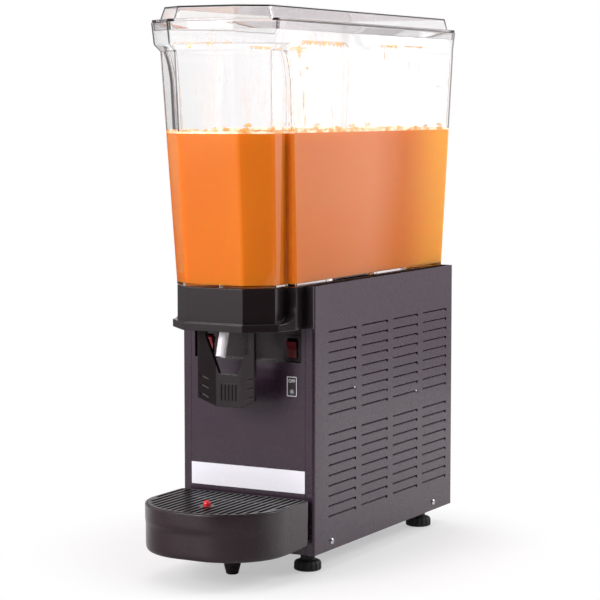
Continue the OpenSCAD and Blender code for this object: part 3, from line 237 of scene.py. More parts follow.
def lathe(sketch, y, profile, count):
    """An upright turned solid on the middle plane, from (radius, z) pairs that start and end on its axis."""
    rings = [sketch.ring(circle(0, y, radius, count), z) for radius, z in profile[1:-1]]
    sketch.skin(rings)
    for ring, (_, z) in ((rings[0], profile[0]), (rings[-1], profile[-1])):
        tip = sketch.bm.verts.new(at(0, y, z))
        for a, b in zip(ring, ring[1:] + ring[:1]):
            sketch.bm.faces.new((a, b, tip))


# Materials
BEVEL_SAMPLES = 6


class Nodes:
    """A node tree with short ways to add to it."""

    def __init__(self, tree):
        self.tree = tree

    def add(self, kind, **settings):
        node = self.tree.nodes.new(kind)
        for name, value in settings.items():
            setattr(node, name, value)
        return node

    def feed(self, socket, value):
        """Links another node's output into a socket, or sets a constant on it."""
        if isinstance(value, bpy.types.NodeSocket):
            self.tree.links.new(value, socket)
        else:
            socket.default_value = (*value, 1) if socket.type == "RGBA" else value

    def math(self, kind, a, b):
        node = self.add("ShaderNodeMath", operation=kind)
        self.feed(node.inputs[0], a)
        self.feed(node.inputs[1], b)
        return node.outputs["Value"]

    def ramp(self, value, *stops):
        """A grey that follows a number from 0 to 1 through (place, grey) stops."""
        node = self.add("ShaderNodeValToRGB")
        elements = node.color_ramp.elements
        while len(elements) < len(stops):
            elements.new(0.5)
        for element, (place, grey) in zip(elements, stops):
            element.position = place
            element.color = (grey, grey, grey, 1)
        self.feed(node.inputs["Fac"], value)
        return node.outputs["Color"]

    def span(self, value, low, high, start=0, end=1, smooth=False):
        """A number between a start and an end mapped to a span, and held at the span's ends."""
        node = self.add("ShaderNodeMapRange", interpolation_type="SMOOTHSTEP" if smooth else "LINEAR")
        for name, number in (("Value", value), ("From Min", start), ("From Max", end), ("To Min", low),
                             ("To Max", high)):
            self.feed(node.inputs[name], number)
        return node.outputs["Result"]

    def mix(self, share, a, b):
        """A colour between two."""
        node = self.add("ShaderNodeMix", data_type="RGBA")
        for name, value in (("Factor", share), ("A", a), ("B", b)):
            self.feed(node.inputs[name], value)
        return node.outputs["Result"]

    def blend(self, share, a, b):
        """A shader between two."""
        node = self.add("ShaderNodeMixShader")
        for i, value in enumerate((share, a, b)):
            self.feed(node.inputs[i], value)
        return node.outputs["Shader"]

    def parts(self, vector):
        """The x, y and z of a vector."""
        node = self.add("ShaderNodeSeparateXYZ")
        self.feed(node.inputs["Vector"], vector)
        return node.outputs


class Shader(Nodes):
    """A node material built round one Principled shader."""

    def __init__(self, name, colour, rough, **sockets):
        self.material = bpy.data.materials.new(name)
        self.material.use_nodes = True
        super().__init__(self.material.node_tree)
        self.surface = self.tree.nodes["Principled BSDF"]
        self.output = self.tree.nodes["Material Output"]
        self.set(Base_Color=colour, Roughness=rough, **sockets)
        self.where = self.add("ShaderNodeTexCoord").outputs["Object"]

    def set(self, **sockets):
        for name, value in sockets.items():
            self.feed(self.surface.inputs[name.replace("_", " ")], value)

    def noise(self, scale, detail=4, rough=0.55, stretch=(1, 1, 1)):
        mapping = self.add("ShaderNodeMapping")
        self.feed(mapping.inputs["Vector"], self.where)
        self.feed(mapping.inputs["Scale"], stretch)
        node = self.add("ShaderNodeTexNoise")
        for name, value in (("Vector", mapping.outputs["Vector"]), ("Scale", scale), ("Detail", detail),
                            ("Roughness", rough)):
            self.feed(node.inputs[name], value)
        return node.outputs["Fac"]

    def relief(self, height, distance, strength, edge=0):
        """Bump from a height, on edges rounded by a radius."""
        bump = self.add("ShaderNodeBump")
        for name, value in (("Height", height), ("Distance", distance * MM), ("Strength", strength)):
            self.feed(bump.inputs[name], value)
        if edge:
            bevel = self.add("ShaderNodeBevel", samples=BEVEL_SAMPLES)
            self.feed(bevel.inputs["Radius"], edge * MM)
            self.feed(bump.inputs["Normal"], bevel.outputs["Normal"])
        self.set(Normal=bump.outputs["Normal"])

    def show(self, share, other):
        """Puts a share of another shader over the surface."""
        self.feed(self.output.inputs["Surface"], self.blend(share, self.surface.outputs["BSDF"], other))


def moulded(name, dark, light, rough, grain=900, edge=0.6, depth=0.02, **sockets):
    """Moulded plastic: faint mottling, fine grain and rounded edges."""
    s = Shader(name, dark, rough, **sockets)
    s.set(Base_Color=s.mix(s.noise(14, 5), dark, light))
    s.set(Roughness=s.span(s.noise(60, 3), rough - 0.05, rough + 0.06))
    s.relief(s.noise(grain, 2), depth, 0.5, edge)
    return s.material


def metal(name, dark, light, rough, stretch=(1, 1, 1), scale=120):
    """Bare metal with brushing or spangle."""
    s = Shader(name, light, rough, Metallic=1.0)
    grain = s.noise(scale, 5, 0.65, stretch)
    s.set(Base_Color=s.mix(s.ramp(grain, (0.3, 0.0), (0.7, 1.0)), dark, light))
    s.set(Roughness=s.span(grain, rough - 0.08, rough + 0.1))
    s.relief(grain, 0.02, 0.4, edge=0.3)
    return s.material


def clear_acrylic():
    """Clear moulded acrylic: light passes, and its shadow is faint."""
    s = Shader("clear_acrylic", (1, 1, 1), 0.02, Transmission_Weight=1.0, IOR=1.46)
    s.relief(s.noise(22, 2), 0.12, 0.35)
    s.set(Roughness=s.span(s.noise(35, 4), 0.0, 0.05))
    clear = s.add("ShaderNodeBsdfTransparent")
    s.feed(clear.inputs["Color"], (0.96, 0.96, 0.96))
    s.show(s.add("ShaderNodeLightPath").outputs["Is Shadow Ray"], clear.outputs["BSDF"])
    return s.material


# Where the juice's painted light starts and where it is full: the juice is painted paler and yellower towards
# the rear
JUICE_PAINTED_LIGHT_FROM = 250
JUICE_PAINTED_LIGHT_AT = 400


def orange_juice():
    """Pulpy orange juice, opaque, with painted light: paler and yellower towards the rear corners, as if
    light shone through them.
    """
    s = Shader("orange_juice", (0.75, 0.17, 0.010), 0.45, Subsurface_Weight=0.7, Subsurface_Scale=0.02,
               Subsurface_Radius=(1.0, 0.3, 0.05), Specular_IOR_Level=0.1)
    rear = s.span(s.parts(s.where)["Y"], 0, 1, FRONT + JUICE_PAINTED_LIGHT_FROM * MM, FRONT + JUICE_PAINTED_LIGHT_AT * MM,
                  smooth=True)
    swirl = s.noise(5, 4, 0.5, (1, 1, 0.5))
    pulp = s.noise(420, 3)
    body = s.mix(s.ramp(swirl, (0.35, 0.0), (0.68, 1.0)), (0.57, 0.147, 0.006), (0.61, 0.174, 0.008))
    # Painted light: the body is painted paler and yellower towards the rear corners
    body = s.mix(s.math("MULTIPLY", rear, 0.9), body, (0.76, 0.34, 0.006))
    s.set(Base_Color=s.mix(s.ramp(pulp, (0.62, 0.0), (0.75, 0.3)), body, (0.76, 0.28, 0.03)))
    s.relief(pulp, 0.02, 0.1)
    return s.material


FILM_FAINT_TO = -75
FILM_FULL_FROM = -55


def splash_film():
    """A thin dried film on the wall above the juice: mostly clear, with faint streaks and small drops."""
    s = Shader("splash_film", (0.92, 0.45, 0.12), 0.4)
    streak = s.noise(42, 6, 0.7, (1, 1, 0.14))
    drops = s.noise(170, 3, 0.6, (1, 1, 0.6))
    patch = s.noise(8, 3)
    thick = s.math("MULTIPLY", s.ramp(streak, (0.52, 0.0), (0.8, 0.4)),
                   s.ramp(patch, (0.45, 0.0), (0.65, 1.0)))
    specks = s.math("MULTIPLY", s.ramp(drops, (0.68, 0.0), (0.74, 0.45)),
                    s.ramp(patch, (0.4, 0.2), (0.6, 1.0)))
    back = s.span(s.parts(s.where)["Y"], 0.2, 1, FRONT + FILM_FAINT_TO * MM, FRONT + FILM_FULL_FROM * MM)
    s.set(Base_Color=s.mix(s.ramp(drops, (0.45, 0.0), (0.6, 1.0)), (0.90, 0.42, 0.10), (0.80, 0.62, 0.50)))
    s.set(Alpha=s.math("MULTIPLY", s.math("MAXIMUM", thick, specks), back))
    s.relief(streak, 0.2, 0.5)
    return s.material


def dried_juice(name, dark, light, thin, thick):
    """Dried juice, patchy and see-through, thicker in places."""
    s = Shader(name, dark, 0.4)
    patch = s.noise(120, 4, 0.6, (1, 1, 0.5))
    s.set(Base_Color=s.mix(s.ramp(patch, (0.4, 0.0), (0.62, 1.0)), dark, light))
    s.set(Alpha=s.span(s.ramp(patch, (0.35, 0.0), (0.62, 1.0)), thin, thick))
    s.relief(s.noise(300, 3), 0.1, 0.4)
    return s.material


def foam():
    """Froth along the juice's edge: pale bubbles over orange."""
    s = Shader("juice_foam", (0.95, 0.6, 0.3), 0.4)
    cells = s.add("ShaderNodeTexVoronoi")
    s.feed(cells.inputs["Scale"], 420)
    s.feed(cells.inputs["Vector"], s.where)
    pale = s.ramp(s.noise(60, 4), (0.42, 0.0), (0.6, 1.0))
    s.set(Base_Color=s.mix(pale, (0.90, 0.30, 0.030), (0.98, 0.80, 0.58)))
    s.relief(cells.outputs["Distance"], 0.6, 0.7)
    return s.material


def cabinet_paint():
    """Powder-coated sheet steel: dark plum grey with a fine orange peel."""
    s = Shader("cabinet_paint", (0.029, 0.013, 0.027), 0.27, Specular_IOR_Level=0.6)
    s.set(Base_Color=s.mix(s.noise(7, 4), (0.027, 0.012, 0.025), (0.031, 0.015, 0.029)))
    s.set(Roughness=s.span(s.noise(45, 3), 0.23, 0.31))
    s.relief(s.noise(650, 2), 0.006, 0.2, edge=0.6)
    return s.material


def rocker_red(name, dark, light):
    """Red switch rocker, unevenly dark."""
    s = Shader(name, dark, 0.25)
    s.set(Base_Color=s.mix(s.noise(160, 3), dark, light))
    s.relief(s.noise(500, 2), 0.015, 0.4, edge=0.5)
    return s.material


PAINT = cabinet_paint()
BLACK = moulded("black_moulding", (0.014, 0.007, 0.009), (0.017, 0.009, 0.011), 0.26, edge=0.7, depth=0.012)
GLOSS = moulded("black_gloss", (0.012, 0.008, 0.009), (0.015, 0.010, 0.011), 0.2, 300, edge=1.2, depth=0.01)
RUBBER = moulded("foot_rubber", (0.010, 0.010, 0.010), (0.017, 0.016, 0.016), 0.62, 1200, depth=0.05)
SEAL = moulded("seal_rubber", (0.030, 0.030, 0.030), (0.042, 0.041, 0.040), 0.6)
WHITE = moulded("plate_white", (0.91, 0.90, 0.97), (0.94, 0.93, 0.99), 0.25, 500, edge=0.3, depth=0.01)
SILICONE = moulded("white_silicone", (0.88, 0.84, 0.87), (0.93, 0.89, 0.92), 0.28, 400, edge=0.4)
IVORY = moulded("white_moulding", (0.70, 0.69, 0.64), (0.76, 0.75, 0.70), 0.4)
MACHINE = moulded("machine_black", (0.016, 0.016, 0.017), (0.024, 0.024, 0.025), 0.38, 500)
FLOAT_RED = moulded("float_red", (0.66, 0.020, 0.028), (0.74, 0.030, 0.038), 0.22, 400, edge=0.4)
STEEL = metal("stainless", (0.50, 0.50, 0.51), (0.66, 0.66, 0.67), 0.28, (1, 1, 14))
SCREW = metal("screw_steel", (0.55, 0.55, 0.56), (0.75, 0.75, 0.76), 0.24, scale=400)
ZINC = metal("galvanised", (0.36, 0.37, 0.38), (0.55, 0.56, 0.58), 0.42, scale=70)
COPPER = metal("copper", (0.55, 0.22, 0.12), (0.80, 0.36, 0.22), 0.3)
MOTOR = metal("motor_steel", (0.28, 0.28, 0.29), (0.42, 0.42, 0.43), 0.36, (1, 1, 6))
FINS = metal("fin_aluminium", (0.50, 0.51, 0.53), (0.68, 0.69, 0.71), 0.34, (1, 8, 1))
GRID = moulded("grid_black", (0.006, 0.004, 0.005), (0.009, 0.006, 0.007), 0.3, edge=0.4,
               Specular_IOR_Level=0.35)
STICKER = moulded("dark_sticker", (0.022, 0.017, 0.021), (0.028, 0.022, 0.026), 0.3, 500, edge=0.1,
                  depth=0.005)
ROCKER = rocker_red("rocker_red", (0.15, 0.005, 0.010), (0.26, 0.012, 0.020))
# The right rocker is the same red painted darker: painted shade for the shadow it sits in
ROCKER_PAINTED_SHADE = rocker_red("rocker_painted_shade", (0.02, 0.002, 0.003), (0.12, 0.006, 0.009))
CRUST = dried_juice("juice_crust", (0.90, 0.36, 0.05), (0.96, 0.58, 0.16), 0.15, 0.85)
RUNS = dried_juice("juice_runs", (0.55, 0.36, 0.25), (0.80, 0.45, 0.20), 0.25, 0.8)
ACRYLIC = clear_acrylic()
JUICE = orange_juice()

SLOTS = {
    "galvanised": ZINC, "foot_rubber": RUBBER, "screw_steel": SCREW, "cabinet_paint": PAINT,
    "black_moulding": BLACK, "black_gloss": GLOSS, "plate_white": WHITE, "switch_red": ROCKER,
    "clear_bowl": ACRYLIC, "orange_juice": JUICE, "white_silicone": SILICONE, "seal_rubber": SEAL,
    "stainless": STEEL, "copper": COPPER, "white_moulding": IVORY, "motor_steel": MOTOR,
    "machine_black": MACHINE, "fin_aluminium": FINS,
}
OWN_LOOKS = {"tray_float": FLOAT_RED, "switch_label": STICKER, "tray_grid": GRID, "right_rocker": ROCKER_PAINTED_SHADE}


def dress_solids():
    """Each solid gets the node material of its slot, or its own."""
    for name, node in NODES.items():
        slot_name = node.data.materials[0].name.split(".")[0]
        if slot_name not in SLOTS:
            raise SystemExit(f"no looks for {name}: {slot_name}")
        node.data.materials[0] = OWN_LOOKS.get(name, SLOTS[slot_name])


# Bowl, lid and drink
BOWL_ROUND = 3
BOWL_EDGE = 1.6
BOWL_LEVELS = [0, ARCH_FROM, 244.5, 254.5, 262.5, 269.5, 275.5, BOWL_H]
FOOT_SLOPE = 4
OUTLET_R = 3.65
OUTLET_BORE = 2.6
OUTLET_LOW_Z = FOOT_Z - 21
BOWL_HOLE_R = 54.4
HOLE_STEPS = 96
OUTLET_STEPS = 24

# How far inside its edge a flat face's own ring lies
FACE_EDGE = 4


def plan_rings(sketch, stack):
    """Rings of a stack of (plan, z)."""
    return [sketch.ring(rounded(plan_points(plan), BOWL_ROUND), z) for plan, z in stack]


def soft_rings(sketch, stack, setback, steps):
    """Rings of a stack of (plan, z), with each inner level turned on a short curve."""
    rows = softened([(*plan, z) for plan, z in stack], [setback] * len(stack), steps)
    return plan_rings(sketch, [(Plan(*row[:-1]), row[-1]) for row in rows])


def bowl():
    sketch = Sketch()
    floor_z = FOOT_Z + BOWL_FLOOR
    floor_plan = bowl_plan(BOWL_FLOOR)
    outer = [(inset(FOOT_PLAN, FOOT_SLOPE), FOOT_Z)] + [(arched_plan(h), FOOT_Z + h) for h in BOWL_LEVELS]
    outer += [(RIM_LOW_PLAN, RIM_LOW_Z), (RIM_TOP_PLAN, RIM_TOP_Z)]
    inner = [(inset(plan, BOWL_WALL), z) for plan, z in reversed(outer[2:])]
    inner += [(inset(floor_plan, BOWL_WALL), floor_z), (inset(floor_plan, BOWL_WALL + FACE_EDGE), floor_z)]
    rings = soft_rings(sketch, outer + inner, BOWL_EDGE, steps=3)
    holes = [sketch.ring(circle(0, EVAPORATOR_Y, BOWL_HOLE_R, HOLE_STEPS), z) for z in (FOOT_Z, floor_z)]
    outlet = [sketch.ring(circle(0, OUTLET_Y, r, OUTLET_STEPS), z) for r, z in (
        (OUTLET_R, FOOT_Z), (OUTLET_R, OUTLET_LOW_Z), (OUTLET_BORE, OUTLET_LOW_Z), (OUTLET_BORE, floor_z))]
    for skin in (rings, holes, outlet):
        sketch.skin(skin)
    sketch.cap(rings[0], holes[0], outlet[0])
    sketch.cap(rings[-1], holes[-1], outlet[-1])
    sketch.finish("bowl_moulding", ACRYLIC, "bowl", "clear_bowl", sharp=50, replaces=["bowl"])


LID_REST = 0.2
LID_RIM_T = 3
LID_H = 18.5
LID_GAP = 0.8
LID_LEDGE = 10
LID_IN = 15
LID_WALL = 2.5
LID_EDGE = 1.1
LID_SKIRT = 10
SKIRT_PLAY = 0.2
MOUTH_PLAY = 0.4


def lid():
    """A stack from the inside of the crown, down and round the skirt and the edge, to the top."""
    sketch = Sketch()
    low = RIM_TOP_Z + LID_REST
    rim = low + LID_RIM_T
    top = RIM_TOP_Z + LID_H
    edge = inset(RIM_TOP_PLAN, LID_GAP)
    mouth = inset(RIM_TOP_PLAN, BOWL_WALL + LID_GAP)
    skirt = inset(mouth, RIM_LEAN * LID_SKIRT / RIM_H + SKIRT_PLAY)
    ledge = inset(RIM_TOP_PLAN, LID_LEDGE)
    crown = inset(RIM_TOP_PLAN, LID_IN)._replace(rear=ledge.rear)
    inside = [(inset(crown, LID_WALL + FACE_EDGE), top), (inset(crown, LID_WALL), top),
              (inset(ledge, LID_WALL), rim), (inset(mouth, LID_WALL + MOUTH_PLAY), rim)]
    stack = [(plan, z - LID_WALL) for plan, z in inside]
    stack += [(inset(skirt, LID_WALL), low - LID_SKIRT), (skirt, low - LID_SKIRT), (mouth, low), (edge, low),
              (edge, rim), (ledge, rim), (crown, top), (inset(crown, FACE_EDGE), top)]
    sketch.solid(soft_rings(sketch, stack, LID_EDGE, steps=2))
    sketch.finish("lid_moulding", ACRYLIC, "lid", "clear_bowl", sharp=50, replaces=["lid"])


JUICE_LAP = 0.2
JUICE_GAP = BOWL_WALL - JUICE_LAP
JUICE_EDGE = 1.2
JUICE_FOOT_EDGE = 3
JUICE_WAIST = 60
MENISCUS_H = 1.2
VOID_R = 56
VOID_TOP_Z = FOOT_Z + 71


def juice():
    """The drink, which laps a little into the wall and leaves a void for the evaporator."""
    sketch = Sketch()
    low = BOWL_FLOOR - JUICE_LAP
    stack = [(inset(bowl_plan(low), JUICE_GAP + JUICE_FOOT_EDGE), FOOT_Z + low)]
    stack += [(inset(bowl_plan(h), JUICE_GAP), FOOT_Z + h) for h in (low, JUICE_WAIST, JUICE_H)]
    stack += [(inset(bowl_plan(JUICE_H), JUICE_GAP + FACE_EDGE), JUICE_Z - MENISCUS_H)]
    rings = soft_rings(sketch, stack, JUICE_EDGE, steps=2)
    void = [sketch.ring(circle(0, EVAPORATOR_Y, VOID_R, HOLE_STEPS), z) for z in (FOOT_Z + low, VOID_TOP_Z)]
    sketch.skin(rings)
    sketch.skin(void)
    sketch.cap(rings[0], void[0])
    sketch.cap(void[1])
    sketch.cap(rings[-1])
    sketch.finish("juice_body", JUICE, "bowl", "orange_juice", sharp=50, replaces=["juice"])


FOAM_STEP = 2.5
FOAM_HIGH = 3.2
FOAM_WIDE = 2.6
FOAM_SINK = 1.5
FOAM_GAP = 0.05


def foam_line():
    """Froth where the juice meets the wall, uneven in height all the way round."""
    sketch = Sketch()
    plan = inset(bowl_plan(JUICE_H), JUICE_GAP)
    path = resampled(rounded(plan_points(plan), BOWL_ROUND), FOAM_STEP)
    rings = []
    for i, p in enumerate(path):
        along = (path[(i + 1) % len(path)] - path[i - 1]).normalized()
        inward = Vector((-along.y, along.x))
        swell = wobble(p.x, p.y, 0, 26) + 0.7 * wobble(p.x, p.y, 40, 7)
        high = FOAM_HIGH * max(0.25, 0.75 + swell)
        wide = FOAM_WIDE * (1 + 0.5 * wobble(p.x, p.y, 90, 11))
        section = [(FOAM_GAP, -FOAM_SINK), (wide, -FOAM_SINK), (wide * 0.9, high * 0.45),
                   (wide * 0.45, high * 0.9), (FOAM_GAP, high)]
        rings.append(sketch.loop([at(p.x + inward.x * a, p.y + inward.y * a, JUICE_Z + b)
                                  for a, b in section]))
    sketch.skin(rings + rings[:1])
    sketch.finish("juice_foam", foam(), "bowl", "orange_juice", sharp=60)


# Dried splashes above the drink
FILM_T = 0.25
FILM_GAP = 0.12
FILM_LAP = 1
FILM_TOP = 12


def film():
    """A thin coat of dried splashes on the wall above the juice."""
    sketch = Sketch()
    low = JUICE_H - FILM_LAP
    rows = [(arched_plan(h), FOOT_Z + h) for h in [low] + [h for h in BOWL_LEVELS if h > low]]
    rows += [(RIM_LOW_PLAN, RIM_LOW_Z), (RIM_TOP_PLAN, RIM_TOP_Z - FILM_TOP)]
    stack = [(inset(plan, BOWL_WALL + FILM_GAP), z) for plan, z in rows]
    stack += [(inset(plan, BOWL_WALL + FILM_GAP + FILM_T), z) for plan, z in reversed(rows)]
    rings = plan_rings(sketch, stack)
    sketch.skin(rings + rings[:1])
    sketch.finish("splash_film", splash_film(), "bowl", "orange_juice", sharp=50)


MARK_T = 0.2
MARK_GAP = 0.45
BLOTCH_STEPS = 40
TIDE_STEP = 1.6


def on_side(side):
    """Places (y, z, depth) on the inside of a side wall."""
    return lambda y, z, depth: at(side * (wall_plan(z).main - BOWL_WALL - MARK_GAP - depth), y, z)


def on_front(x, z, depth):
    """A place on the inside of the nose's front wall."""
    return at(x, wall_plan(z).front + BOWL_WALL + MARK_GAP + depth, z)


def mark(sketch, outline, place):
    """A thin dried patch: an outline of (along, z) points laid on a wall."""
    sketch.solid([sketch.loop([place(a, z, depth) for a, z in outline]) for depth in (0, MARK_T)])


def blotch(a, z, wide, high, seed):
    """Ragged outline of a splash, with runs hanging from its lower edge."""
    made = []
    for i in range(BLOTCH_STEPS):
        turn = TURN * i / BLOTCH_STEPS
        rag = 0.75 + 0.5 * wobble(3 * math.cos(turn), 3 * math.sin(turn), seed)
        drop = 1
        if math.sin(turn) < 0:
            drop += 1.1 * max(0, wobble(8 * math.cos(turn), seed, 4.2))
        made.append((a + wide * rag * math.cos(turn), z + high * rag * drop * math.sin(turn)))
    return made


def tide(start, end, z, high, seed):
    """Outline of a dried line under the rim: straight on top, with drips below."""
    count = max(8, round((end - start) / TIDE_STEP))
    top = [(start + (end - start) * i / count, z) for i in range(count + 1)]
    low = []
    for a, _ in reversed(top):
        swell = wobble(a / 9, seed, 0) + 0.8 * wobble(a / 3, seed, 7)
        low.append((a, z - high * (0.25 + max(0, 0.5 + swell))))
    return top + low


def run(points, width, seed):
    """Outline of a narrow run down a wall, uneven in width."""
    left, right = [], []
    for i, (a, z) in enumerate(points):
        before, after = Vector(points[max(i - 1, 0)]), Vector(points[min(i + 1, len(points) - 1)])
        along = (after - before).normalized()
        half = width / 2 * (0.7 + 0.6 * abs(wobble(a / 7, z / 7, seed)))
        left.append((a - along.y * half, z + along.x * half))
        right.append((a + along.y * half, z - along.x * half))
    return left + right[::-1]


# Blotches are (along the wall, z, half width, half height), tides (start, end, z, height, seed) and runs
# lists of (y, z) points
RIGHT_BLOTCHES = [
    (-21, 632, 6, 9), (-8, 575, 2.2, 14), (-4, 551, 2, 9), (-16, 606, 1.6, 5), (0, 612, 5, 2.5),
    (118, JUICE_Z + 7, 14, 3.4), (160, JUICE_Z + 8, 12, 3.8), (205, 630, 4, 5), (330, JUICE_Z + 5, 10, 2.6),
    (372, JUICE_Z + 6, 12, 3)]
LEFT_BLOTCHES = [(140, JUICE_Z + 6, 12, 3), (250, JUICE_Z + 7, 16, 3.4), (330, JUICE_Z + 5, 9, 2.6)]
FRONT_BLOTCHES = [(-18, 637, 2.6, 3.2), (8, 640, 2.8, 3), (33, 641, 3, 2.6)]
TIDE_Z = 645
RIGHT_TIDES = [(-15, 94, TIDE_Z, 6, 3), (190, 242, TIDE_Z, 6, 3), (262, 320, TIDE_Z, 2.4, 3)]
LEFT_TIDE = (150, 300, TIDE_Z, 4, 8)
FRONT_TIDE = (-40, 40, 641.5, 1.1, 5)
RIGHT_RUNS = [
    [(94, TIDE_Z), (104, 640), (116, 632), (128, 626), (140, 617), (147, 605), (152, 590), (153, 574)],
    [(170, 600), (172, 585), (171, 570)], [(62, 566), (67, 552), (66, JUICE_Z + 2)],
    [(276, 628), (279, 606), (277, 585)], [(235, 590), (236, 560)]]
RUN_W = 1.5
LEFT_SEED = 30
FRONT_SEED = 50


def splash_marks():
    """Dried splashes above the juice, on the sides and the front."""
    crust, runs = Sketch(), Sketch()
    right, left = on_side(1), on_side(-1)
    for i, places in enumerate(RIGHT_BLOTCHES):
        mark(crust, blotch(*places, i), right)
    for places in RIGHT_TIDES:
        mark(crust, tide(*places), right)
    for i, points in enumerate(RIGHT_RUNS):
        mark(runs, run(points, RUN_W, i), right)
    for i, places in enumerate(LEFT_BLOTCHES):
        mark(crust, blotch(*places, LEFT_SEED + i), left)
    mark(crust, tide(*LEFT_TIDE), left)
    for i, places in enumerate(FRONT_BLOTCHES):
        mark(crust, blotch(*places, FRONT_SEED + i), on_front)
    mark(runs, tide(*FRONT_TIDE), on_front)
    crust.finish("splash_crust", CRUST, "bowl", "orange_juice", sharp=50)
    runs.finish("splash_runs", RUNS, "bowl", "orange_juice", sharp=50)


LINED_CORNERS = (2, 3, 4, 9, 10, 11, 6, 7)
LINE_STEPS = 12
LINE_IN = 1.1
LINE_R = 0.45
LINE_SIDES = 6


def corner_lines():
    """Dried juice in the bowl's upright corners above the drink."""
    sketch = Sketch()
    levels = [JUICE_H + (ARCH_FROM - JUICE_H) * i / LINE_STEPS for i in range(LINE_STEPS)] + BOWL_LEVELS[1:]
    for corner in LINED_CORNERS:
        rings = []
        for h in levels:
            x, y = plan_points(inset(arched_plan(h), BOWL_WALL + LINE_IN))[corner]
            r = LINE_R * (0.8 + 0.6 * wobble(corner, h / 9, 2.5))
            rings.append(sketch.ring(circle(x, y, r, LINE_SIDES), FOOT_Z + h))
        sketch.solid(rings)
    sketch.finish("corner_lines", RUNS, "bowl", "orange_juice", sharp=60)


# Side panels
HALF_W = 92.5
BODY_D = 395
BODY_LOW = 24
BODY_TOP = 352
PANEL_T = 1.2
RETURN_W = 12
BEND_R = 3.5
BEND_STEPS = 8
LOUVRE_COLS = 4
LOUVRE_ROWS = 9
LOUVRE_FRONT = 37
LOUVRE_REAR = 17.4
LOUVRE_GAP = 15.2
LOUVRE_PITCH = 12.65
LOUVRE_BASE = 40.8
LOUVRE_H = 2.4
LOUVRE_DEEP = 4
LOUVRE_LAP = 1.5
HOOK_LEN = 4
HOOK_H = 1.6
LOUVRE_LEN = (BODY_D - LOUVRE_FRONT - LOUVRE_REAR - (LOUVRE_COLS - 1) * LOUVRE_GAP) / LOUVRE_COLS


def panel_columns():
    """Lines up the sheet from the return's edge to the rear: (x, y, what lies behind the line)."""
    lines = [(HALF_W - RETURN_W, 0, "")]
    for i in range(BEND_STEPS + 1):
        a = TURN / 4 * i / BEND_STEPS
        lines.append((HALF_W - BEND_R + BEND_R * math.sin(a), BEND_R - BEND_R * math.cos(a), ""))
    for c in range(LOUVRE_COLS):
        start = LOUVRE_FRONT + c * (LOUVRE_LEN + LOUVRE_GAP)
        lines += [(HALF_W, start, "slot"), (HALF_W, start + LOUVRE_LEN - HOOK_LEN, "hook"),
                  (HALF_W, start + LOUVRE_LEN, "")]
    return lines + [(HALF_W, BODY_D, "")]


def panel_rows():
    """Heights up the sheet, in two blocks of louvres: (z, what lies above the height)."""
    rows = [(BODY_LOW, "")]
    for i in range(2 * LOUVRE_ROWS + 1):
        if i != LOUVRE_ROWS:
            low = BODY_LOW + LOUVRE_BASE + i * LOUVRE_PITCH
            rows += [(low - HOOK_H, "hook"), (low, "slot"), (low + LOUVRE_H, "")]
    return rows + [(BODY_TOP, "")]


def side_panel(side, name, solid):
    """Pressed sheet: each louvre is a slot, hooked at its rear end, with its tongue leaning in behind it."""
    sketch = Sketch()
    columns = panel_columns()
    rows = panel_rows()
    grid = [sketch.loop([at(side * x, y, z) for x, y, _ in columns]) for z, _ in rows]
    tongue = Vector((-side * LOUVRE_DEEP, 0, LOUVRE_H + LOUVRE_LAP)) * MM

    def quad(*corners):
        sketch.bm.faces.new(corners if side > 0 else corners[::-1])

    for r, (_, above) in enumerate(rows[:-1]):
        for c, (_, _, behind) in enumerate(columns[:-1]):
            low, high = grid[r], grid[r + 1]
            if not behind or not above or (above == "hook" and behind == "slot"):
                quad(low[c], low[c + 1], high[c + 1], high[c])
            elif above == "hook" or behind == "slot":
                tip = sketch.loop([v.co + tongue for v in low[c:c + 2]])
                quad(low[c], low[c + 1], tip[1], tip[0])
    sketch.bm.normal_update()
    bmesh.ops.solidify(sketch.bm, geom=sketch.bm.faces[:], thickness=PANEL_T * MM)
    sketch.finish(name, PAINT, "cabinet", "cabinet_paint", sharp=25, replaces=[solid])


# Drip tray
TRAY_REACH = 148
TRAY_HALF = 91
TRAY_REAR = -6.5
TRAY_TOP = 93.4
TRAY_LOW = 36
TRAY_BAND = 20.5
TRAY_STEP = 4.5
STEP_RISE = 2
STEP_FALL = 4
TRAY_WALL = 2.5
TRAY_ROUND = 80
TRAY_REAR_ROUND = 8
LEAST_ROUND = 1
ARC_STEPS = 24
PAN_EDGE = 6
UNDER_EDGE = 12
TRAY_TURNS = [3, 0.6, 0.6, 0.8, 1.4, 5, 5, 9]
GRID_SEAT = 90.8
LEG_Y = -38
LEG_PROFILE = [(0, 0.5), (6, 0.5), (7.4, 1.2), (8, 3.4), (15.6, 33), (16.3, 35), (17, 36.4), (0, 36.4)]
LEG_SIDES = 32


def tray_plan(t, side):
    """The tray's outline drawn in by one distance all round but another at its sides, its corners on arcs."""
    half = TRAY_HALF - side
    corners = [(-half, t - TRAY_REACH), (half, t - TRAY_REACH), (half, TRAY_REAR - t), (-half, TRAY_REAR - t)]
    radii = [TRAY_ROUND, TRAY_ROUND, TRAY_REAR_ROUND, TRAY_REAR_ROUND]
    made = []
    for i, corner in enumerate(corners):
        r = max(radii[i] - t, LEAST_ROUND)
        p = Vector(corner)
        before = (Vector(corners[i - 1]) - p).normalized() * r
        after = (Vector(corners[(i + 1) % 4]) - p).normalized() * r
        made += [p + before + after + Matrix.Rotation(TURN / 4 * s / ARC_STEPS, 2) @ -after
                 for s in range(ARC_STEPS + 1)]
    return made


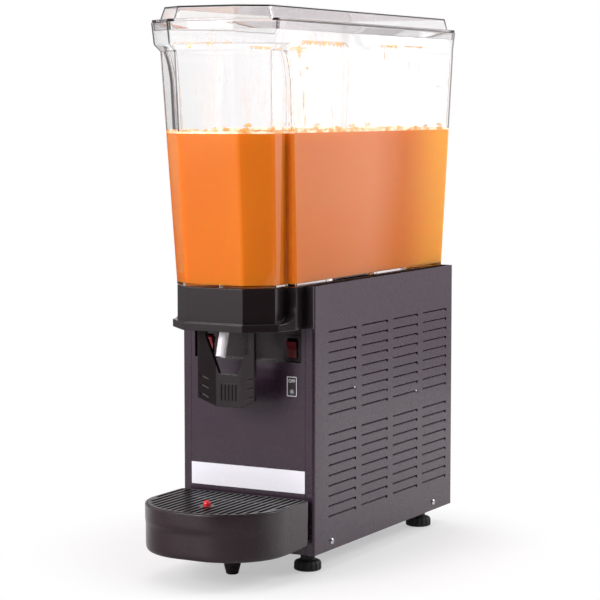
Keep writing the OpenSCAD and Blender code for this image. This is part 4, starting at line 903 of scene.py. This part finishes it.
def drip_tray():
    """A pan from its floor to the grid's seat, over the rim, past the band's step and under, on its leg."""
    sketch = Sketch()
    band = TRAY_TOP - TRAY_BAND
    shelf = TRAY_STEP + TRAY_WALL
    floor_z = TRAY_LOW + TRAY_WALL
    profile = [(shelf + PAN_EDGE, TRAY_WALL + PAN_EDGE, floor_z), (shelf, TRAY_WALL, floor_z),
               (shelf, TRAY_WALL, GRID_SEAT), (TRAY_WALL, TRAY_WALL, GRID_SEAT),
               (TRAY_WALL, TRAY_WALL, TRAY_TOP), (0, 0, TRAY_TOP), (0, 0, band + STEP_RISE),
               (TRAY_STEP, 0, band - STEP_FALL), (TRAY_STEP, 0, TRAY_LOW),
               (TRAY_STEP + UNDER_EDGE, UNDER_EDGE, TRAY_LOW)]
    levels = softened(profile, TRAY_TURNS, steps=5, most=0.48)
    sketch.solid([sketch.ring(tray_plan(t, side), z) for t, side, z in levels])
    lathe(sketch, LEG_Y, LEG_PROFILE, LEG_SIDES)
    sketch.finish("drip_tray_moulding", BLACK, "tray", "black_moulding", sharp=40, replaces=["drip_tray"])


FLOAT_Y = -97
BALL_PROFILE = [(0, 91.4), (2.6, 91.4), (2.8, 92.2), (3.9, 93.0), (4.5, 94.4), (4.7, 96), (4.5, 97.6),
                (3.9, 98.9), (3.0, 99.9), (1.8, 100.5), (0.8, 100.7), (0, 100.75)]
BALL_SIDES = 40


def float_ball():
    """The red ball that the float shows above the grid, on a short neck."""
    sketch = Sketch()
    lathe(sketch, FLOAT_Y, BALL_PROFILE, BALL_SIDES)
    sketch.finish("float_ball", FLOAT_RED, "float", "switch_red", sharp=40)


# Feet and screws
FOOT_PLACES = [(x, y) for x in (-68.5, 68.5) for y in (28, 343)]
FOOT_R = 17
STEM_R = 9
FOOT_FLUTES = 14
FLUTE_STEPS = 8
FLUTE_DEEP = 1.3

# The foot's (radius, z, share of the flute's depth)
FOOT_PROFILE = [(FOOT_R - 3, 0.2, 0), (FOOT_R - 0.8, 1, 0.3), (FOOT_R, 2.6, 1), (FOOT_R - 0.2, 9.4, 1),
                (FOOT_R - 1.6, 11.8, 0.6), (FOOT_R - 4.5, 13, 0.1), (STEM_R + 0.6, 13.4, 0),
                (STEM_R, 14.6, 0), (STEM_R, BODY_LOW, 0)]


def feet():
    """Levelling feet with a fluted edge."""
    sketch = Sketch()
    count = FOOT_FLUTES * FLUTE_STEPS
    for x, y in FOOT_PLACES:
        rings = []
        for radius, z, share in FOOT_PROFILE:
            outline = []
            for i in range(count):
                a = TURN * i / count
                r = radius - share * FLUTE_DEEP * max(0, math.cos(FOOT_FLUTES * a)) ** 2
                outline.append((x + r * math.cos(a), y + r * math.sin(a)))
            rings.append(sketch.ring(outline, z))
        sketch.solid(rings)
    sketch.finish("fluted_feet", RUBBER, "cabinet", "foot_rubber", sharp=40, replaces=["feet"])


SCREW_Y = (46, 339)
SCREW_Z = 34.7
SCREW_GRIP = 10
SHANK_R = 2
HEAD_R = 4
HEAD_H = 2
HEAD_SIDES = 48
RECESS_REACH = 0.62
RECESS_HALF = 0.5
RECESS_DEEP = 1.1

# The screw head's (share of its radius, height)
HEAD_PROFILE = [(1, 0), (1, 0.7), (0.93, 1.25), (0.8, 1.7), (RECESS_REACH, 1.95), (0.5, HEAD_H),
                (0.36, HEAD_H), (0.2, HEAD_H), (0.1, HEAD_H)]


def cross_screw(sketch, place, axis):
    """Pan-head screw with a cross recess; the axis points out of the head, which sits on the place."""
    turn = Vector((0, 0, 1)).rotation_difference(Vector(axis)).to_matrix()
    profile = [(SHANK_R, -SCREW_GRIP, False), (SHANK_R, 0, False)]
    profile += [(HEAD_R * share, height, share < RECESS_REACH) for share, height in HEAD_PROFILE]
    rings = []
    for radius, height, recessed in profile:
        ring = []
        for i in range(HEAD_SIDES):
            a = TURN * (i + 0.5) / HEAD_SIDES
            x, y = radius * math.cos(a), radius * math.sin(a)
            sunk = RECESS_DEEP if recessed and min(abs(x), abs(y)) < RECESS_HALF else 0
            ring.append(place + turn @ Vector((x, y, height - sunk)) * MM)
        rings.append(sketch.loop(ring))
    sketch.solid(rings)


def side_screws():
    sketch = Sketch()
    for side in (-1, 1):
        for y in SCREW_Y:
            cross_screw(sketch, at(side * HALF_W, y, SCREW_Z), (side, 0, 0))
    sketch.finish("side_screws", SCREW, "cabinet", "screw_steel", sharp=30, replaces=["side_panel_screws"])


# Switch label
LABEL_X = 62
LABEL_LOW = 217
LABEL_W = 14.5
LABEL_H = 25
LABEL_T = 0.3
LABEL_Z = LABEL_LOW + LABEL_H / 2
INK_T = 0.05
FRAME_IN = 0.9
FRAME_LINE = 0.7
FROST_AT = (0, -6.2)
FROST_ARMS = 6
FROST_R = 2.9
FROST_LINE = 0.5
TWIG_FROM = 0.55
TWIG_SHARE = 0.36
TWIG_TURN = 0.7
TWIG_LINE = 0.4
WORD_UP = 6.6
WORD_H = 5.4


def strip(sketch, start, end, width):
    """A flat printed line on the label's face, between (x, z) points about the label's middle."""
    start, end = Vector(start), Vector(end)
    along = (end - start).normalized()
    side = Vector((-along.y, along.x)) * width / 2
    corners = [start - side, end - side, end + side, start + side]
    faces = [sketch.loop([at(LABEL_X + p.x, y, LABEL_Z + p.y) for p in corners])
             for y in (-LABEL_T, -LABEL_T - INK_T)]
    sketch.skin(faces)
    for ring in faces:
        sketch.bm.faces.new(ring)


def label_print():
    """White frame and a frost sign on the switch label."""
    sketch = Sketch()
    w, h = LABEL_W / 2 - FRAME_IN, LABEL_H / 2 - FRAME_IN
    for start, end in (((-w, -h), (w, -h)), ((-w, h), (w, h)), ((-w, -h), (-w, h)), ((w, -h), (w, h))):
        strip(sketch, start, end, FRAME_LINE)
    centre = Vector(FROST_AT)
    for i in range(FROST_ARMS):
        arm = Matrix.Rotation(TURN * i / FROST_ARMS, 2) @ Vector((0, FROST_R))
        strip(sketch, centre, centre + arm, FROST_LINE)
        fork = centre + arm * TWIG_FROM
        for turn in (-TWIG_TURN, TWIG_TURN):
            strip(sketch, fork, fork + Matrix.Rotation(turn, 2) @ (arm * TWIG_SHARE), TWIG_LINE)
    sketch.finish("label_print", WHITE, "cabinet", "plate_white", sharp=30)


def label_word():
    """The switch's OFF word, as raised ink."""
    curve = bpy.data.curves.new("label_word", "FONT")
    curve.body = "OFF"
    curve.size = WORD_H * MM
    curve.extrude = INK_T / 2 * MM
    curve.align_x = "CENTER"
    curve.align_y = "CENTER"
    text = bpy.data.objects.new("label_word_source", curve)
    mesh = bpy.data.meshes.new_from_object(text)
    bpy.data.objects.remove(text)
    mesh.name = "label_word"
    place = at(LABEL_X, -LABEL_T - INK_T / 2, LABEL_Z + WORD_UP)
    mesh.transform(Matrix.Translation(place) @ Matrix.Rotation(TURN / 4, 4, "X"))
    dressed(mesh, "label_word", WHITE, "cabinet", sharp=30)


# Stage, in metres
CAMERA_PLACE = (1.2893, -2.35965, 0.5689)
CAMERA_TURN = (84.73, 0, 28.675)
CAMERA_LENS = 127.06
CAMERA_SENSOR = 36


def camera():
    data = bpy.data.cameras.new("camera")
    data.lens = CAMERA_LENS
    data.sensor_width = CAMERA_SENSOR
    obj = bpy.data.objects.new("camera", data)
    obj.location = CAMERA_PLACE
    obj.rotation_euler = [math.radians(a) for a in CAMERA_TURN]
    bpy.context.scene.collection.objects.link(obj)
    bpy.context.scene.camera = obj


FLOOR_REACH = 1.5
FLOOR_FRONT = -0.85
FLOOR_PALE = (0.9, 0.9, 0.9)
FLOOR_MIRRORED = (0.45, 0.40, 0.42)
DIM_FROM = -0.1
DIM_AT = -0.3
SHADOW_NEAR = 0.22
SHADOW_FAR = 0.38
WHITE_NEAR = 0.45


def floor():
    """Pale studio floor: a soft shadow near the object, fading to white. Reflections see its front dimmer."""
    mesh = bpy.data.meshes.new("floor")
    mesh.from_pydata([(x, y, 0) for x, y in ((-FLOOR_REACH, FLOOR_FRONT), (FLOOR_REACH, FLOOR_FRONT),
                                             (FLOOR_REACH, FLOOR_REACH), (-FLOOR_REACH, FLOOR_REACH))],
                     [], [(0, 1, 2, 3)])
    s = Shader("studio_floor", FLOOR_PALE, 0.6)
    path = s.add("ShaderNodeLightPath").outputs
    near = s.span(s.parts(s.where)["Y"], 0, 1, DIM_FROM, DIM_AT)
    s.set(Base_Color=s.mix(s.math("MULTIPLY", path["Is Glossy Ray"], near), FLOOR_PALE, FLOOR_MIRRORED))
    reach = s.add("ShaderNodeVectorMath", operation="LENGTH")
    s.feed(reach.inputs[0], s.where)
    share = s.span(reach.outputs["Value"], WHITE_NEAR, 1, SHADOW_NEAR, SHADOW_FAR, smooth=True)
    seen = s.math("MAXIMUM", path["Is Camera Ray"], path["Is Transmission Ray"])
    s.show(s.math("MULTIPLY", seen, share), s.add("ShaderNodeEmission").outputs["Emission"])
    mesh.materials.append(s.material)
    obj = bpy.data.objects.new("floor", mesh)
    bpy.context.scene.collection.objects.link(obj)


# What reflections see of the room: (cosine, level) stops, by the angle to the dark side or to an axis
DARK_SIDE = (0.877, -0.48, 0)
ROOM_TINT = (1.0, 0.93, 0.965)
ROOM = [(-1, 0.24), (-0.92, 0.5), (-0.84, 0.95), (-0.7, 0.8), (0, 0.64), (0.4, 0.32), (0.72, 0.03)]
FRONT_GLOW_X = [(-0.85, 0), (-0.7, 0.7), (-0.35, 0.7), (-0.15, 0)]
FRONT_GLOW_Y = [(-0.6, 1), (-0.3, 0)]
ROOM_Z = [(-0.18, 0.2), (-0.07, 0.85), (0.1, 1)]
REAR_GLOW_X = [(0.42, 0), (0.475, 0.95), (0.6, 0.95), (0.74, 0)]
REAR_GLOW_Y = [(0.2, 0), (0.5, 1)]
REAR_GLOW_Z = [(-0.2, 0.6), (-0.13, 0.75), (-0.085, 1)]


def studio_world():
    """White for the camera and straight through glass; reflections see a dim right and two soft glows."""
    world = bpy.data.worlds.new("studio")
    bpy.context.scene.world = world
    world.use_nodes = True
    w = Nodes(world.node_tree)
    w.tree.nodes.clear()

    def level(cosine, stops):
        return w.ramp(w.span(cosine, 0, 1, start=-1), *(((place + 1) / 2, grey) for place, grey in stops))

    def background(colour, strength=1):
        node = w.add("ShaderNodeBackground")
        w.feed(node.inputs["Color"], colour)
        w.feed(node.inputs["Strength"], strength)
        return node.outputs["Background"]

    where = w.add("ShaderNodeTexCoord").outputs["Generated"]
    dot = w.add("ShaderNodeVectorMath", operation="DOT_PRODUCT")
    w.feed(dot.inputs[0], where)
    w.feed(dot.inputs[1], DARK_SIDE)
    x, y, z = w.parts(where)
    front = w.math("MULTIPLY", level(x, FRONT_GLOW_X), level(y, FRONT_GLOW_Y))
    front = w.math("ADD", level(dot.outputs["Value"], ROOM), front)
    rear = w.math("MULTIPLY", level(x, REAR_GLOW_X), level(y, REAR_GLOW_Y))
    lit = w.math("ADD", w.math("MULTIPLY", front, level(z, ROOM_Z)),
                 w.math("MULTIPLY", rear, level(z, REAR_GLOW_Z)))
    path = w.add("ShaderNodeLightPath").outputs
    seen = w.math("MAXIMUM", path["Is Camera Ray"], path["Is Transmission Ray"])
    straight = w.math("SUBTRACT", seen, path["Glossy Depth"])
    surface = w.blend(straight, background(ROOM_TINT, lit), background((1, 1, 1)))
    w.feed(w.add("ShaderNodeOutputWorld").inputs["Surface"], surface)


# Lamps: name, place, target, size, power in watts, whether reflections and glass show it
MIDDLE = (0, 0, 0.35)
LAMPS = [
    ("key", (-0.9, -2.8, 1.3), MIDDLE, (1.5, 1.2), 64, True),
    ("side", (2.2, 1.3, 1.9), MIDDLE, (1.2, 1.2), 46, True),
    ("rear_left", (-2.2, 1.6, 0.9), (0, 0, 0.3), (1.2, 1.4), 12, False),
    ("top", (0, 0.2, 2.6), MIDDLE, (1.8, 1.8), 16, True),
]


def lights():
    for name, place, target, size, power, shown in LAMPS:
        data = bpy.data.lights.new(name, "AREA")
        data.shape = "RECTANGLE"
        data.size, data.size_y = size
        data.energy = power
        obj = bpy.data.objects.new(name, data)
        obj.location = place
        obj.rotation_euler = (Vector(target) - Vector(place)).to_track_quat("-Z", "Y").to_euler()
        obj.visible_glossy = obj.visible_transmission = shown
        bpy.context.scene.collection.objects.link(obj)


camera()
floor()
studio_world()
lights()
dress_solids()
bowl()
lid()
juice()
foam_line()
film()
splash_marks()
corner_lines()
side_panel(1, "right_panel_sheet", "right_side_panel")
side_panel(-1, "left_panel_sheet", "left_side_panel")
drip_tray()
float_ball()
feet()
side_screws()
label_print()
label_word()
bpy.context.scene.view_settings.view_transform = "Standard"
